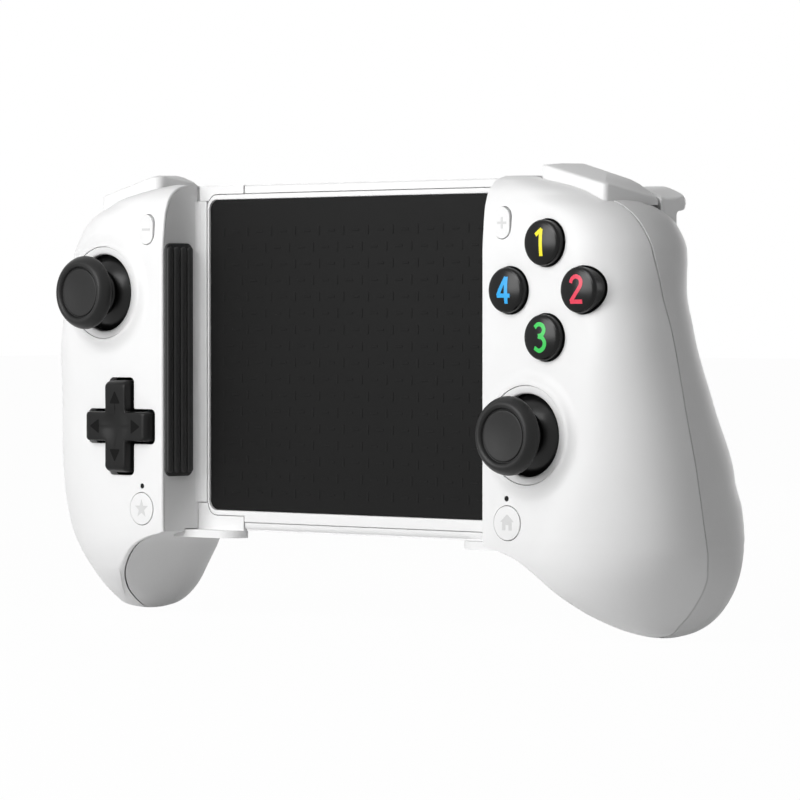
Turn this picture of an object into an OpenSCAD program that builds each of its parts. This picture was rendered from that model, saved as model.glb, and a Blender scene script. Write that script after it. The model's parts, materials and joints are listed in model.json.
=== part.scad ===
// Mobile game controller: two grips that slide apart on a tray and clamp a phone between them.
// X runs across, Y from the front to the rear and Z up, in millimetres, with the tips of the grips at Z = 0.
// Pieces are drawn with the front faces of the halves at Y = 0, and placed() centres the whole in Y.
// Places on a half count outwards from its inner wall; the left half is the right one mirrored.

/* [Halves] */
// Gap between the inner walls with the controller closed
wall_gap = 102; // [98:1:120]
// Height of a half from the tip of its grip to its top
half_h = 103; // [101:1:112]
// Width of a half from its inner wall to its outer side
half_w = 46.6; // [45:0.2:54]
// Depth of a grip from its front face to its rear
grip_d = 43.5; // [42:0.5:50]
// Depth of a half above its grip
body_d = 31; // [30:0.5:34]
// Thickness of the shells
shell_wall = 2.2; // [1.8:0.1:2.6]
// Seam between a front shell and its rear shell
seam = 0.3; // [0.2:0.05:0.5]
// Depth of the seam at the inner wall
seam_edge = 0.9; // [0.6:0.1:1]

/* [Layout of a half] */
// Left stick, out from the inner wall
upper_out = 19.3; // [19:0.1:21]
// Middle of the face buttons, out from the inner wall
buttons_out = 18.4; // [18.2:0.1:20]
// Left stick and face buttons, their height as a share of the half's
upper_share = 0.7485; // [0.74:0.0005:0.757]
// Lower control, D-pad or right stick, out from the inner wall
lower_out = 13.8; // [13.6:0.1:16]
// Lower control, its height as a share of the half's
lower_share = 0.435; // [0.42:0.001:0.455]
// Plus or minus button, out from the inner wall
pill_out = 5.4; // [5.2:0.1:6]
// Plus or minus button, down from the top
pill_drop = 10.8; // [10.6:0.1:12]
// Star or home button, out from the inner wall
small_out = 7; // [6.6:0.1:8]
// Star or home button, its height as a share of the half's
small_share = 0.2427; // [0.239:0.0001:0.2465]
// Indicator dot, above the star or home button
led_rise = 5.5; // [5.2:0.1:6.5]
// Front face of the circuit boards
board_y = 14.5; // [14.3:0.1:15]
// Thickness of the circuit boards
board_t = 1.6; // [1:0.2:1.6]

/* [Sticks] */
// Diameter of a stick's cap
cap_d = 18; // [16:0.2:18.4]
// How far a cap stands in front of the face
cap_proud = 9.5; // [9:0.1:11]
// Height of a cap
cap_h = 4.7; // [4:0.1:5]
// Depth of the stick's pivot behind the face
stick_pivot = 9; // [8.8:0.1:9.2]
// Radius of the dome that closes the socket
dome_r = 11.9; // [11.5:0.1:12]
// Opening of the stick's socket
socket_d = 18.6; // [18.2:0.2:19]
// Outer diameter of the ring round the socket
ring_d = 22.2; // [22:0.1:22.6]
// How far the ring and the collar stand proud
ring_proud = 0.8; // [0.4:0.1:1]

/* [Buttons] */
// Diameter of a face button
button_d = 10.3; // [9:0.1:10.8]
// Face buttons from the middle of their diamond
button_pitch = 10.5; // [10.2:0.1:11]
// How far a face button stands proud
button_proud = 2.5; // [1.8:0.1:3]
// Width of a plus or minus button
pill_w = 4.8; // [4.6:0.1:5.4]
// Height of a plus or minus button
pill_h = 7.2; // [7:0.1:8.4]
// Diameter of a star or home button
small_d = 7.7; // [7:0.1:8]
// How far the small buttons stand proud
small_proud = 0.4; // [0.2:0.1:1]
// Gap round a button
button_gap = 0.3; // [0.2:0.05:0.4]
// Diameter of an indicator dot
led_d = 1.2; // [0.8:0.1:1.6]

/* [D-pad] */
// D-pad's width across its face
dpad_w = 21.2; // [20:0.1:22]
// Width of a D-pad arm at its face
dpad_arm = 6.9; // [6:0.1:7]
// How far the D-pad stands proud
dpad_proud = 2.4; // [1.5:0.1:3]
// Spread of the D-pad's sides from the face to the hole
dpad_flare = 0.2; // [0.1:0.05:0.5]
// Gap round the D-pad
dpad_gap = 0.75; // [0.7:0.05:0.9]
// Depth of the D-pad's pivot behind the face
dpad_pivot_y = 7; // [6.8:0.1:7.2]

/* [Tray] */
// Front of the tray's frame, behind the face
tray_y = 12.4; // [11:0.1:12.6]
// Thickness of the tray
tray_t = 9.6; // [9.4:0.1:11]
// Underside of the tray
tray_bottom = 20; // [19.8:0.1:21]
// Height of the tray
tray_h = 82.8; // [80:0.1:83]
// Step from the tray's edge to its frame
band = 2; // [1.9:0.1:2.4]
// Thickness of the tray's pad
pad_t = 1.2; // [1:0.1:1.4]
// How far the pad lies below the frame
pad_sunk = 0.4; // [0.2:0.1:0.6]
// Rim of the frame round the pad, sideways and above
rim = 1.4; // [1:0.1:2]
// Rim of the frame below the pad
rim_low = 2.7; // [2:0.1:3]
// Gap from the tray's left end to the inner wall
tray_end_gap = 2.6; // [2.4:0.1:4]
// How far the tray reaches into the right half
tray_root = 3.8; // [3:0.1:3.9]
// Length of the carriage's arms and of the ledges
arm_l = 15.3; // [12:0.1:20]
// Thickness of the ledges under the tray
ledge_t = 1.8; // [1.4:0.1:2]
// Front edge of the ledges, behind the face
ledge_y = 7.8; // [6:0.1:10]
// Running gap of the sliding pieces
slide_gap = 0.35; // [0.3:0.05:0.4]
// Thickness of the sliding tongue
tongue_t = 2.6; // [2:0.1:2.8]
// Diameter of the guide rails
rail_d = 3; // [2.4:0.1:3.2]

/* [End pads] */
// Height of an end pad
end_pad_h = 56; // [40:1:64]
// Middle of an end pad, height
end_pad_z = 60.9; // [58:0.1:62]
// Width of an end pad
end_pad_w = 9; // [7:0.1:9.4]
// How far an end pad stands proud
end_pad_t = 1; // [0.8:0.1:2]

/* [Shoulder] */
// Bumpers and triggers, out from the inner wall
shoulder_out = 9.2; // [9:0.1:11]
// Width of a bumper
bumper_w = 22.3; // [18:0.1:23]
// Depth of a bumper
bumper_d = 16; // [14:0.1:16]
// Front of a bumper, behind the face
bumper_y = 8; // [7.8:0.1:8.6]
// How far a bumper rises over the top
bumper_rise = 2.3; // [2:0.1:3]
// Press of a bumper, in degrees
bumper_press = 3; // [2:0.2:3]
// Width of a trigger
trigger_w = 22.9; // [18:0.1:23]
// Trigger's pin, behind the face
trigger_y = 20; // [19.8:0.1:20.2]
// Trigger's pin, down from the top
trigger_drop = 10; // [9.9:0.1:10.2]
// Diameter of a trigger's pin
pin_d = 2.2; // [1.8:0.1:2.4]

/* [Hidden] */
$fn = 48;

wall_x = wall_gap / 2;
face_y = (cap_proud - grip_d) / 2;
cut = 60;
white = "whitesmoke";
black = "#2a2a2a";
rubber = "#1e1e1e";
steel = "silver";

lower_z = half_h * lower_share;
small_z = half_h * small_share;
upper = [wall_x + upper_out, half_h * upper_share];
diamond = [wall_x + buttons_out, half_h * upper_share];
lower = [wall_x + lower_out, lower_z];
pill = [wall_x + pill_out, half_h - pill_drop];
small = [wall_x + small_out, small_z];
led = [wall_x + small_out - 0.2, small_z + led_rise];

tray_top = tray_bottom + tray_h;
tray_x0 = tray_end_gap - wall_x;
tray_x1 = wall_x + tray_root;
tray_rear = tray_y + tray_t;
frame_t = 2.8;
frame_rear = tray_y + frame_t;
cover_wall = 1.7;
arm_x = arm_l - wall_x;
tongue_y = frame_rear + slide_gap + 0.4;
tongue_x1 = wall_x - 7;
rail_y = tongue_y + tongue_t / 2;
cavity_z0 = tray_bottom + band + 1.5;
cavity_z1 = tray_top - band - 1.5;
rail_z = [cavity_z0 + rail_d / 2 + 0.05, cavity_z1 - rail_d / 2 - 0.05];
spring_z = [cavity_z0 + 16, cavity_z1 - 16];
spring_r = tongue_t / 2;
// Screws that hold the tray's cover, either side of the springs, and the depth of their heads
tray_screw_places = [for (z = spring_z, d = [-8, 8]) [tongue_x1 + 4.5, z + d]];
tray_head = 1.4;
board_in = wall_x + tray_root + 0.6;
board_out = wall_x + 35;
board_z0 = small_z - 2.4;
board_z1 = half_h - 11;
button_y = 7.6;
flange_t = 1;
guide_t = 1;
ring_gap = 0.1;
roof_z = half_h - 2.6;
roof_slope = 12.5;
shoulder_x = wall_x + shoulder_out;
trigger_z = half_h - trigger_drop;
hub_r = pin_d / 2 + 1.2;

// Screw posts of a half: out from the inner wall, height and depth of the screw's seat
screws = [[7.5, half_h * 0.631, 26.5], [34, half_h * 0.563, 29.5], [25, half_h * 0.233, 39]];
screw_r = 1.1;
screw_head_r = 2.3;
post_r = 2.8;

// Slices of a half: height, inner and outer side, front and rear, then the two radii of each corner
// in the order front inner, front outer, rear outer and rear inner. X counts from the inner wall.
stations = [
    [0, 29, half_w - 15.6, 25.5, grip_d - 15, 1, 1.5, 1, 1.5, 1, 1.5, 1, 1.5],
    [0.5, 28.2, half_w - 14, 23.3, grip_d - 12.8, 2.2, 3.6, 2.2, 3.6, 2.2, 3.6, 2.2, 3.6],
    [1.7, 27, half_w - 12.6, 20.5, grip_d - 11, 3.5, 6, 3.5, 6, 3.5, 6, 3.5, 6],
    [4.2, 23, half_w - 9.6, 14, grip_d - 6.5, 6, 8, 8, 15, 5, 7, 8, 9],
    [7.5, 19.5, half_w - 6.6, 8, grip_d - 4, 5, 10, 15.4, 24, 6, 7, 10, 11],
    [11, 15, half_w - 3.1, 3.5, grip_d - 3, 4.5, 10, 23.9, 28.5, 9, 8, 14, 16],
    [14.3, 9.5, half_w - 1.2, 1.3, grip_d - 2.2, 4.5, 10, 31, 29.5, 10, 10, 22, 26],
    [16.7, 5.6, half_w - 0.6, 0.5, grip_d - 1.6, 2.8, 6, 36, 28.5, 11, 12, 26, 30],
    [18.1, 2.6, half_w - 0.4, 0.2, grip_d - 1.3, 2, 4, 40, 28, 11, 13.5, 30, 33],
    [18.9, 0.9, half_w - 0.3, 0.1, grip_d - 1.2, 1.4, 2, 40, 27.5, 11, 14, 30, 32],
    [19.6, 0, half_w - 0.3, 0, grip_d - 1, 0.8, 0.8, 39, 27.3, 11.5, 14.5, 29, 31],
    [21.5, 0, half_w - 0.2, 0, grip_d - 0.5, 0.8, 0.8, 38, 27, 12, 15, 28, 30],
    [28, 0, half_w, 0, grip_d, 0.8, 0.8, 32, 25, 13, 17, 26, 28],
    [35, 0, half_w, 0, grip_d - 0.5, 0.8, 0.8, 27, 24, 17, 18, 25, 26],
    [51.5, 0, half_w - 1.6, 0, grip_d - 6.5, 0.8, 0.8, 19, 18, 16, 16, 22, 20],
    [half_h - 35, 0, half_w - 3.6, 0, body_d, 0.8, 0.8, 13, 14.5, 14, 14, 14, 12],
    [half_h - 17.3, 0, half_w - 5.8, 0, body_d, 0.8, 0.8, 13.5, 15, 14, 13, 14, 12],
    [half_h - 11, 0, half_w - 8.8, 0.4, body_d - 1, 0.8, 0.8, 15, 15.5, 14, 12, 13, 11],
    [half_h - 7.5, 0, half_w - 12.6, 0.8, body_d - 3.5, 0.8, 0.8, 16, 15, 14, 11, 12, 9],
    [half_h - 5, 0, half_w - 16.3, 1.5, body_d - 5.5, 0.8, 0.8, 15.5, 13, 13, 10, 11, 8],
    [half_h - 3.4, 0, half_w - 19.6, 2.2, body_d - 6.5, 0.8, 0.8, 14, 11, 12, 9, 10, 7],
    [half_h - 1, 0, half_w - 26.6, 4.8, body_d - 8.5, 0.8, 0.8, 11, 8, 9, 7, 7, 5],
    [half_h, 0, half_w - 34.6, 7.9, body_d - 11, 0.8, 0.8, 7, 5, 5, 4, 4, 3]];
// Slices from one station to the next, and points round each corner
outer_steps = 2;
corner_steps = [2, 8, 6, 6];
// Lean of the seam's surface at each height: depth gained for each millimetre outwards
seam_lean = [[-2, 0.9], [0, 0.87], [7, 0.74], [14, 0.62], [27, 0.46], [52, 0.34],
    [half_h - 13, 0.24], [half_h + 6, 0.22]];
seam_steps = 4;

// Slope of column c between stations i and i + 1
function rise(t, i, c) = (t[i + 1][c] - t[i][c]) / (t[i + 1][0] - t[i][0]);
// Slope of column c at station i, which never overshoots
function slope(t, i, c) =
    i == 0 ? rise(t, 0, c)
    : i == len(t) - 1 ? rise(t, i - 1, c)
    : let (a = rise(t, i - 1, c), b = rise(t, i, c)) a * b <= 0 ? 0 : 2 * a * b / (a + b);
// Column c on a smooth curve, a share u of the way from station i to the next
function between(t, i, u, c) =
    let (h = t[i + 1][0] - t[i][0])
    t[i][c] * (2 * u * u * u - 3 * u * u + 1) + slope(t, i, c) * h * (u * u * u - 2 * u * u + u)
    + t[i + 1][c] * (3 * u * u - 2 * u * u * u) + slope(t, i + 1, c) * h * (u * u * u - u * u);
// One slice, a share u of the way from station i to the next
function slice(i, u) = [for (c = [0:12]) c == 0
    ? stations[i][0] + u * (stations[i + 1][0] - stations[i][0]) : between(stations, i, u, c)];
// Points of one corner: its middle, its radii, its first angle and its steps
function corner(mid, r, start, steps) =
    [for (k = [0:steps]) mid + [r[0] * cos(start + 90 * k / steps), r[1] * sin(start + 90 * k / steps)]];
// Share of their radii that the corners of a slice keep, so that no two of them meet
function kept(s) =
    let (w = s[2] - s[1], d = s[4] - s[3])
    min(1, w / (s[5] + s[7]), w / (s[9] + s[11]), d / (s[8] + s[10]), d / (s[6] + s[12]));
// Outline of a slice, drawn in by inset
function outline(s, inset) =
    let (x0 = wall_x + s[1] + inset, x1 = wall_x + s[2] - inset, y0 = s[3] + inset, y1 = s[4] - inset,
        f = kept(s),
        r = [for (k = [0:3]) [max(f * s[5 + 2 * k] - inset, 0.4), max(f * s[6 + 2 * k] - inset, 0.4)]])
    [each corner([x0, y0] + r[0], r[0], 180, corner_steps[0]),
        each corner([x1 - r[1][0], y0 + r[1][1]], r[1], 270, corner_steps[1]),
        each corner([x1, y1] - r[2], r[2], 0, corner_steps[2]),
        each corner([x0 + r[3][0], y1 - r[3][1]], r[3], 90, corner_steps[3])];
// Solid through rings of points that run the same way round
module loft(rings) {
    n = len(rings[0]);
    last = len(rings) - 1;
    walls = [for (k = [0:last - 1], i = [0:n - 1]) let (j = (i + 1) % n)
        each [[k * n + i, (k + 1) * n + i, (k + 1) * n + j], [k * n + i, (k + 1) * n + j, k * n + j]]];
    polyhedron([for (ring = rings) each ring],
        [[for (i = [0:n - 1]) i], each walls, [for (i = [n - 1:-1:0]) last * n + i]]);
}
// A flat outline lifted to height z
function lifted(points, z) = [for (p = points) [p[0], p[1], z]];

// Outer form of the right half
module half_outer() {
    last = len(stations) - 2;
    slices = [for (i = [0:last], k = [0:outer_steps - 1]) slice(i, k / outer_steps), slice(last, 1)];
    loft([for (s = slices) lifted(outline(s, 0), s[0])]);
}
// Hollow of the right half, from above the grip's tip to under the roof
module half_hollow() {
    slices = [for (i = [5:17]) slice(i, 0), slice(17, 0.6)];
    loft([for (s = slices) lifted(outline(s, shell_wall), s[0])]);
}
// Everything in front of the seam's surface, moved forward by back
module front_of_seam(back) {
    x0 = wall_x - 2;
    x1 = wall_x + cut;
    last = len(seam_lean) - 1;
    rows = [for (i = [0:last - 1], k = [0:seam_steps - 1]) let (u = k / seam_steps)
        [seam_lean[i][0] * (1 - u) + seam_lean[i + 1][0] * u, between(seam_lean, i, u, 1)],
        seam_lean[last]];
    loft([for (s = rows) lifted([[x0, -cut], [x1, -cut], [x1, seam_edge - back + cut * s[1]],
        [x0, seam_edge - back - 2 * s[1]]], s[0])]);
}
module placed() {
    translate([0, face_y, 0]) children();
}
module placed_left() {
    placed() mirror([1, 0, 0]) children();
}
// Rod along Y
module rod_y(at, y0, y1, r) {
    translate([at[0], y0, at[1]]) rotate([-90, 0, 0]) cylinder(r = r, h = y1 - y0);
}
// Rod along X
module rod_x(x0, x1, y, z, r) {
    translate([x0, y, z]) rotate([0, 90, 0]) cylinder(r = r, h = x1 - x0);
}
// Rod along Z
module rod_z(x, y, z0, z1, r) {
    translate([x, y, z0]) cylinder(r = r, h = z1 - z0);
}
// Tube along Y
module tube_y(at, y0, y1, r_out, r_in) {
    difference() {
        rod_y(at, y0, y1, r_out);
        rod_y(at, y0 - 1, y1 + 1, r_in);
    }
}
// Box between two corners
module box(a, b) {
    translate(a) cube(b - a);
}
// Rectangle with round corners
module round_rect(a, b, r) {
    translate(a + [r, 0]) square([b[0] - a[0] - 2 * r, b[1] - a[1]]);
    translate(a + [0, r]) square([b[0] - a[0], b[1] - a[1] - 2 * r]);
    for (x = [a[0] + r, b[0] - r], y = [a[1] + r, b[1] - r]) translate([x, y]) circle(r);
}
// Plate whose face lies in X and Z, between depths y0 and y1
module plate_y(y0, y1) {
    translate([0, y1, 0]) rotate([90, 0, 0]) linear_extrude(y1 - y0) children();
}
// Bar whose section lies in Y and Z, between x0 and x1
module bar_x(x0, x1) {
    translate([x0, 0, 0]) rotate([90, 0, 90]) linear_extrude(x1 - x0) children();
}
// Turned piece on a Y axis, its profile drawn as radius and height towards the front
module turned(at, y) {
    translate([at[0], y, at[1]]) rotate([90, 0, 0]) rotate_extrude($fn = 64) children();
}
// Pill outline grown by g
module pill_shape(g) {
    r = pill_w / 2 + g;
    reach = (pill_h - pill_w) / 2;
    translate([-r, -reach]) square([2 * r, 2 * reach]);
    for (z = [-reach, reach]) translate([0, z]) circle(r);
}
// Cross outline
module cross(across, arm) {
    square([across, arm], center = true);
    square([arm, across], center = true);
}
function button_place(k) = diamond + button_pitch * [sin(90 * k), cos(90 * k)];

// Holes and posts that both shells of a half share
module small_holes() {
    translate([pill[0], 0, pill[1]]) plate_y(-cut, board_y) pill_shape(button_gap);
    rod_y(small, -cut, board_y, small_d / 2 + button_gap);
    rod_y(led, -cut, board_y, led_d / 2 + 0.05);
}
module screw_posts() {
    for (s = screws) rod_y([wall_x + s[0], s[1]], 0, s[2] - shell_wall - 0.2, post_r);
}
module screw_seats() {
    for (s = screws) rod_y([wall_x + s[0], s[1]], s[2] - shell_wall, cut, screw_head_r + 1.4);
}
module screw_holes() {
    for (s = screws) {
        rod_y([wall_x + s[0], s[1]], s[2] - 9.5, cut, screw_r + 0.05);
        rod_y([wall_x + s[0], s[1]], s[2], cut, screw_head_r + 0.3);
    }
}
// Room for the bumper, the trigger and the tray
module shoulder_room() {
    x0 = shoulder_x - 0.3;
    y0 = bumper_y - 0.3;
    translate([x0, y0, roof_z]) rotate([0, roof_slope, 0]) box([-1, 0, 0], [cut, cut, cut]);
    box([x0 - 3.2, bumper_y + 1.6, half_h - 2.5], [x0 + 4, bumper_y + bumper_d - 1.6, half_h - 0.3]);
    trigger_room();
}
module trigger_room() {
    x0 = shoulder_x - 0.1;
    x1 = shoulder_x + trigger_w + 0.6;
    box([x0, trigger_y - 2.8, half_h - 19.5], [x1, body_d - 2.4, half_h + cut]);
    box([x0, trigger_y - 2.8, half_h - 11.7], [x1, cut, half_h + cut]);
}
module pin_bosses() {
    rod_x(shoulder_x - 3, shoulder_x - 0.1, trigger_y, trigger_z, pin_d / 2 + 1.5);
    rod_x(shoulder_x + trigger_w + 0.6, shoulder_x + trigger_w + 3, trigger_y, trigger_z, pin_d / 2 + 1.5);
}
module pin_hole() {
    rod_x(shoulder_x - 2.1, shoulder_x + trigger_w + 2.1, trigger_y, trigger_z, pin_d / 2 + 0.02);
}
module tray_room() {
    g = 0.2;
    low = tray_bottom - ledge_t - g;
    box([wall_x - cut, tray_y - g, low], [tray_x1 + g, tray_rear + g, half_h + cut]);
    box([wall_x - cut, ledge_y - g, low], [tray_x1 + g, tray_rear, tray_bottom + g]);
}
// Raised collar round a stick's ring
module collar(at) {
    r0 = ring_d / 2 + ring_gap;
    r1 = r0 + 1.4;
    turned(at, 0)
        polygon([[r0, -1.6], [r0, ring_proud], [r0 + 0.4, ring_proud], [r1, 0], [r1, -1.6]]);
}

// Front shell: its children are the holes of its controls, the collar and any guides behind the holes
module front_shell() {
    difference() {
        union() {
            difference() {
                intersection() {
                    half_outer();
                    front_of_seam(seam / 2);
                }
                half_hollow();
            }
            intersection() {
                half_outer();
                union() {
                    screw_posts();
                    if ($children > 2) children(2);
                }
            }
            children(1);
        }
        children(0);
        small_holes();
        screw_holes();
        shoulder_room();
    }
}
// Rear shell: its children are the room that its controls need
module rear_shell() {
    difference() {
        intersection() {
            half_outer();
            difference() {
                box([0, -cut, -cut], [wall_x + cut, cut, half_h + cut]);
                front_of_seam(-seam / 2);
            }
        }
        difference() {
            half_hollow();
            screw_seats();
            pin_bosses();
        }
        small_holes();
        screw_holes();
        shoulder_room();
        tray_room();
        pin_hole();
        children();
    }
}
module dpad_hole() {
    translate([lower[0], 0, lower[1]]) plate_y(-cut, board_y)
        cross(dpad_w + 2 * (dpad_flare + dpad_gap), dpad_arm + 2 * (dpad_flare + dpad_gap));
}
module button_guides() {
    r = button_d / 2 + button_gap + guide_t;
    for (k = [0:3]) rod_y(button_place(k), 0, button_y - 0.2, r);
}
// Room that the guides and the pressed buttons need in the rear shell
module button_room() {
    r = button_d / 2 + button_gap + guide_t + 0.2;
    for (k = [0:3]) rod_y(button_place(k), 0, button_y + flange_t + 2, r);
}
module button_holes() {
    r = button_d / 2 + button_gap;
    for (k = [0:3]) rod_y(button_place(k), -cut, board_y, r);
}
module stick_hole(at) {
    rod_y(at, -cut, board_y, ring_d / 2 + ring_gap);
}
// Room that a stick's dome needs behind the face
module dome_room(at) {
    rod_y(at, seam_edge, board_y, dome_r + 0.4);
}
module usb_shape(g) {
    round_rect([-4.5 - g, -1.6 - g], [4.5 + g, 1.6 + g], 1.5);
}
usb_at = [wall_x + 10, board_y + board_t + 1.6];

module right_front_shell() {
    color(white) placed() front_shell() {
        union() {
            button_holes();
            stick_hole(lower);
        }
        collar(lower);
        button_guides();
    }
}
module left_front_shell() {
    color(white) placed_left() front_shell() {
        union() {
            dpad_hole();
            stick_hole(upper);
        }
        collar(upper);
    }
}
module right_rear_shell() {
    color(white) placed() rear_shell() {
        button_room();
        stick_hole(lower);
        dome_room(lower);
        translate([usb_at[0], usb_at[1], 0]) linear_extrude(tray_bottom + 5) usb_shape(0.3);
    }
}
module left_rear_shell() {
    color(white) placed_left() rear_shell() {
        dpad_hole();
        stick_hole(upper);
        dome_room(upper);
    }
}

// Tray
module tray_frame() {
    color(white) placed() difference() {
        plate_y(tray_y, frame_rear)
            round_rect([tray_x0, tray_bottom + band], [tray_x1, tray_top - band], 3.2);
        plate_y(tray_y - 1, tray_y + pad_sunk + pad_t)
            round_rect([tray_x0 + rim, tray_bottom + band + rim_low],
                [wall_x, tray_top - band - rim], 2.4);
    }
}
module tray_pad() {
    g = 0.1;
    color(rubber) placed() plate_y(tray_y + pad_sunk, tray_y + pad_sunk + pad_t)
        round_rect([tray_x0 + rim + g, tray_bottom + band + rim_low + g],
            [wall_x - g, tray_top - band - rim - g], 2.3);
}
module cover_section(z0, z1, y0) {
    r = 3;
    translate([y0, z0]) square([tray_rear - r - y0, z1 - z0]);
    translate([tray_rear - r - 1, z0 + r]) square([r + 1, z1 - z0 - 2 * r]);
    for (z = [z0 + r, z1 - r]) translate([tray_rear - r, z]) circle(r);
}
module tray_rear_cover() {
    y0 = tray_y + 0.6;
    color(white) placed() difference() {
        union() {
            bar_x(arm_x + slide_gap, tray_x1) cover_section(tray_bottom, tray_top, y0);
            bar_x(tray_x0, arm_x + 1) cover_section(tray_bottom + band, tray_top - band, frame_rear + 0.05);
        }
        box([-cut, y0 - 1, tray_bottom + band - 0.1],
            [tray_x1 + 1, frame_rear + 0.05, tray_top - band + 0.1]);
        difference() {
            box([-cut, y0 - 1, cavity_z0], [tray_x1 - 2, tray_rear - cover_wall, cavity_z1]);
            for (p = tray_screw_places) rod_y(p, frame_rear + 0.05, cut, screw_head_r + 0.3);
        }
        for (p = tray_screw_places) {
            rod_y(p, frame_rear, cut, screw_r + 0.05);
            rod_y(p, tray_rear - tray_head, cut, screw_head_r + 0.1);
        }
    }
}
module tray_screws() {
    color(steel) placed() for (p = tray_screw_places) {
        rod_y(p, frame_rear + 0.1, tray_rear - tray_head, screw_r);
        difference() {
            rod_y(p, tray_rear - tray_head, tray_rear - 0.2, screw_head_r);
            plate_y(tray_rear - tray_head / 2, tray_rear) translate(p) cross(2.4, 0.6);
        }
    }
}
// Ledge under the tray, drawn on the right
module ledge(x0, x1) {
    r = 5;
    translate([0, 0, tray_bottom - ledge_t]) linear_extrude(ledge_t) difference() {
        translate([x0, ledge_y]) square([x1 - x0, tray_rear - 3 - ledge_y]);
        difference() {
            translate([x0 - 1, ledge_y - 1]) square(r + 1);
            translate([x0 + r, ledge_y + r]) circle(r);
        }
    }
}
module right_ledge() {
    color(white) placed() ledge(-arm_x, tray_x1);
}
module left_carriage() {
    g = 0.2;
    color(white) placed_left() difference() {
        union() {
            bar_x(-tray_x0 + g, tray_x1) difference() {
                cover_section(tray_bottom, tray_top, tray_y);
                translate([tongue_y, cavity_z0]) square([tongue_t + 1.2, cavity_z1 - cavity_z0]);
            }
            bar_x(-arm_x, -tray_x0 + 1) difference() {
                cover_section(tray_bottom, tray_top, tray_y + 0.6);
                translate([tray_y - 1, tray_bottom + band - g])
                    square([tray_t + 2, tray_h - 2 * band + 2 * g]);
            }
            ledge(-arm_x, tray_x1);
        }
        box([tray_x1 - 2.4, tongue_y, cavity_z0 - 2],
            [tray_x1 + 1, tongue_y + tongue_t + 1.2, cavity_z1 + 2]);
    }
}
module slide_tongue() {
    color("gray") placed() difference() {
        box([-tray_x1, tongue_y, rail_z[0] + 0.1], [tongue_x1, tongue_y + tongue_t, rail_z[1] - 0.1]);
        for (z = rail_z) rod_x(-cut - wall_x, wall_x, rail_y, z, rail_d / 2 + slide_gap);
        for (z = spring_z) box([-wall_x + 11, tongue_y - 1, z - spring_r - 0.4],
            [wall_x, tongue_y + tongue_t + 1, z + spring_r + 0.4]);
    }
}
module guide_rails() {
    color(steel) placed() for (z = rail_z) rod_x(tray_x0 + 2, tray_x1 - 2, rail_y, z, rail_d / 2);
}
module pull_springs() {
    color(steel) placed() for (z = spring_z) rod_x(-wall_x + 11.3, tray_x1 - 2, rail_y, z, spring_r);
}
module ribbon_cable() {
    y0 = tongue_y + tongue_t + slide_gap;
    z0 = (tray_bottom + tray_top) / 2;
    color("darkorange") placed() box([-tray_x1 + 2.6, y0, z0 - 6], [tray_x1 - 2, y0 + 0.3, z0 + 6]);
}

// End pads
module end_pad() {
    ridges = 4;
    pitch = end_pad_w / ridges;
    y0 = seam_edge + seam / 2 + 0.15;
    z0 = end_pad_z - end_pad_h / 2;
    color(rubber) difference() {
        bar_x(wall_x - end_pad_t, wall_x) round_rect([y0, z0], [y0 + end_pad_w, z0 + end_pad_h], 1.8);
        for (k = [1:ridges - 1]) box([wall_x - end_pad_t - 1, y0 + k * pitch - 0.35, z0 + 2],
            [wall_x - end_pad_t / 2, y0 + k * pitch + 0.35, z0 + end_pad_h - 2]);
    }
}
module right_end_pad() {
    placed() end_pad();
}
module left_end_pad() {
    placed_left() end_pad();
}

// Boards and what they carry
module board() {
    color("darkgreen") plate_y(board_y, board_y + board_t) difference() {
        round_rect([board_in, board_z0], [board_out, board_z1], 3);
        for (s = screws) translate([wall_x + s[0], s[1]]) circle(post_r + 0.3);
        translate([wall_x, screws[0][1] - post_r - 0.3]) square([screws[0][0], 2 * post_r + 0.6]);
    }
}
module right_board() {
    placed() board();
}
module left_board() {
    placed_left() board();
}
module battery() {
    y0 = board_y + board_t + 0.4;
    color("royalblue") placed() plate_y(y0, y0 + 6)
        round_rect([wall_x + 11.5, lower_z + 2], [wall_x + 30.5, half_h - 20.5], 1.5);
}
module usb_socket() {
    z0 = small_z - 7.4;
    color(steel) placed() translate([usb_at[0], usb_at[1], z0]) difference() {
        linear_extrude(7.4) usb_shape(0);
        translate([0, 0, -1]) linear_extrude(7) usb_shape(-0.3);
    }
}
module switches() {
    y0 = board_y - 2.2;
    color("darkslategray") {
        for (p = [pill, small]) plate_y(y0, board_y) translate(p) square(3, center = true);
        plate_y(board_y - 4, board_y) translate([wall_x + 27.5, board_z1 - 3]) square([5, 3], center = true);
    }
}
module right_switches() {
    placed() switches();
}
module left_switches() {
    placed_left() switches();
}
module led_pipe() {
    color(black) rod_y(led, 0, board_y, led_d / 2);
}
module right_led_pipe() {
    placed() led_pipe();
}
module left_led_pipe() {
    placed_left() led_pipe();
}
module shell_screws() {
    color(steel) for (s = screws) {
        at = [wall_x + s[0], s[1]];
        rod_y(at, s[2] - 9, s[2], screw_r);
        difference() {
            rod_y(at, s[2], s[2] + 1.6, screw_head_r);
            plate_y(s[2] + 0.8, s[2] + 3) translate(at) cross(2.6, 0.6);
        }
    }
}
module right_shell_screws() {
    placed() shell_screws();
}
module left_shell_screws() {
    placed_left() shell_screws();
}
module face_membrane() {
    color("gainsboro") placed() {
        for (k = [0:3]) {
            rod_y(button_place(k), board_y - 1.5, board_y, 3.5);
            rod_y(button_place(k), board_y - 3.8, board_y - 1, 3.2);
        }
        rod_y(diamond, board_y - 1.5, board_y, button_pitch - 3);
    }
}

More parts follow.
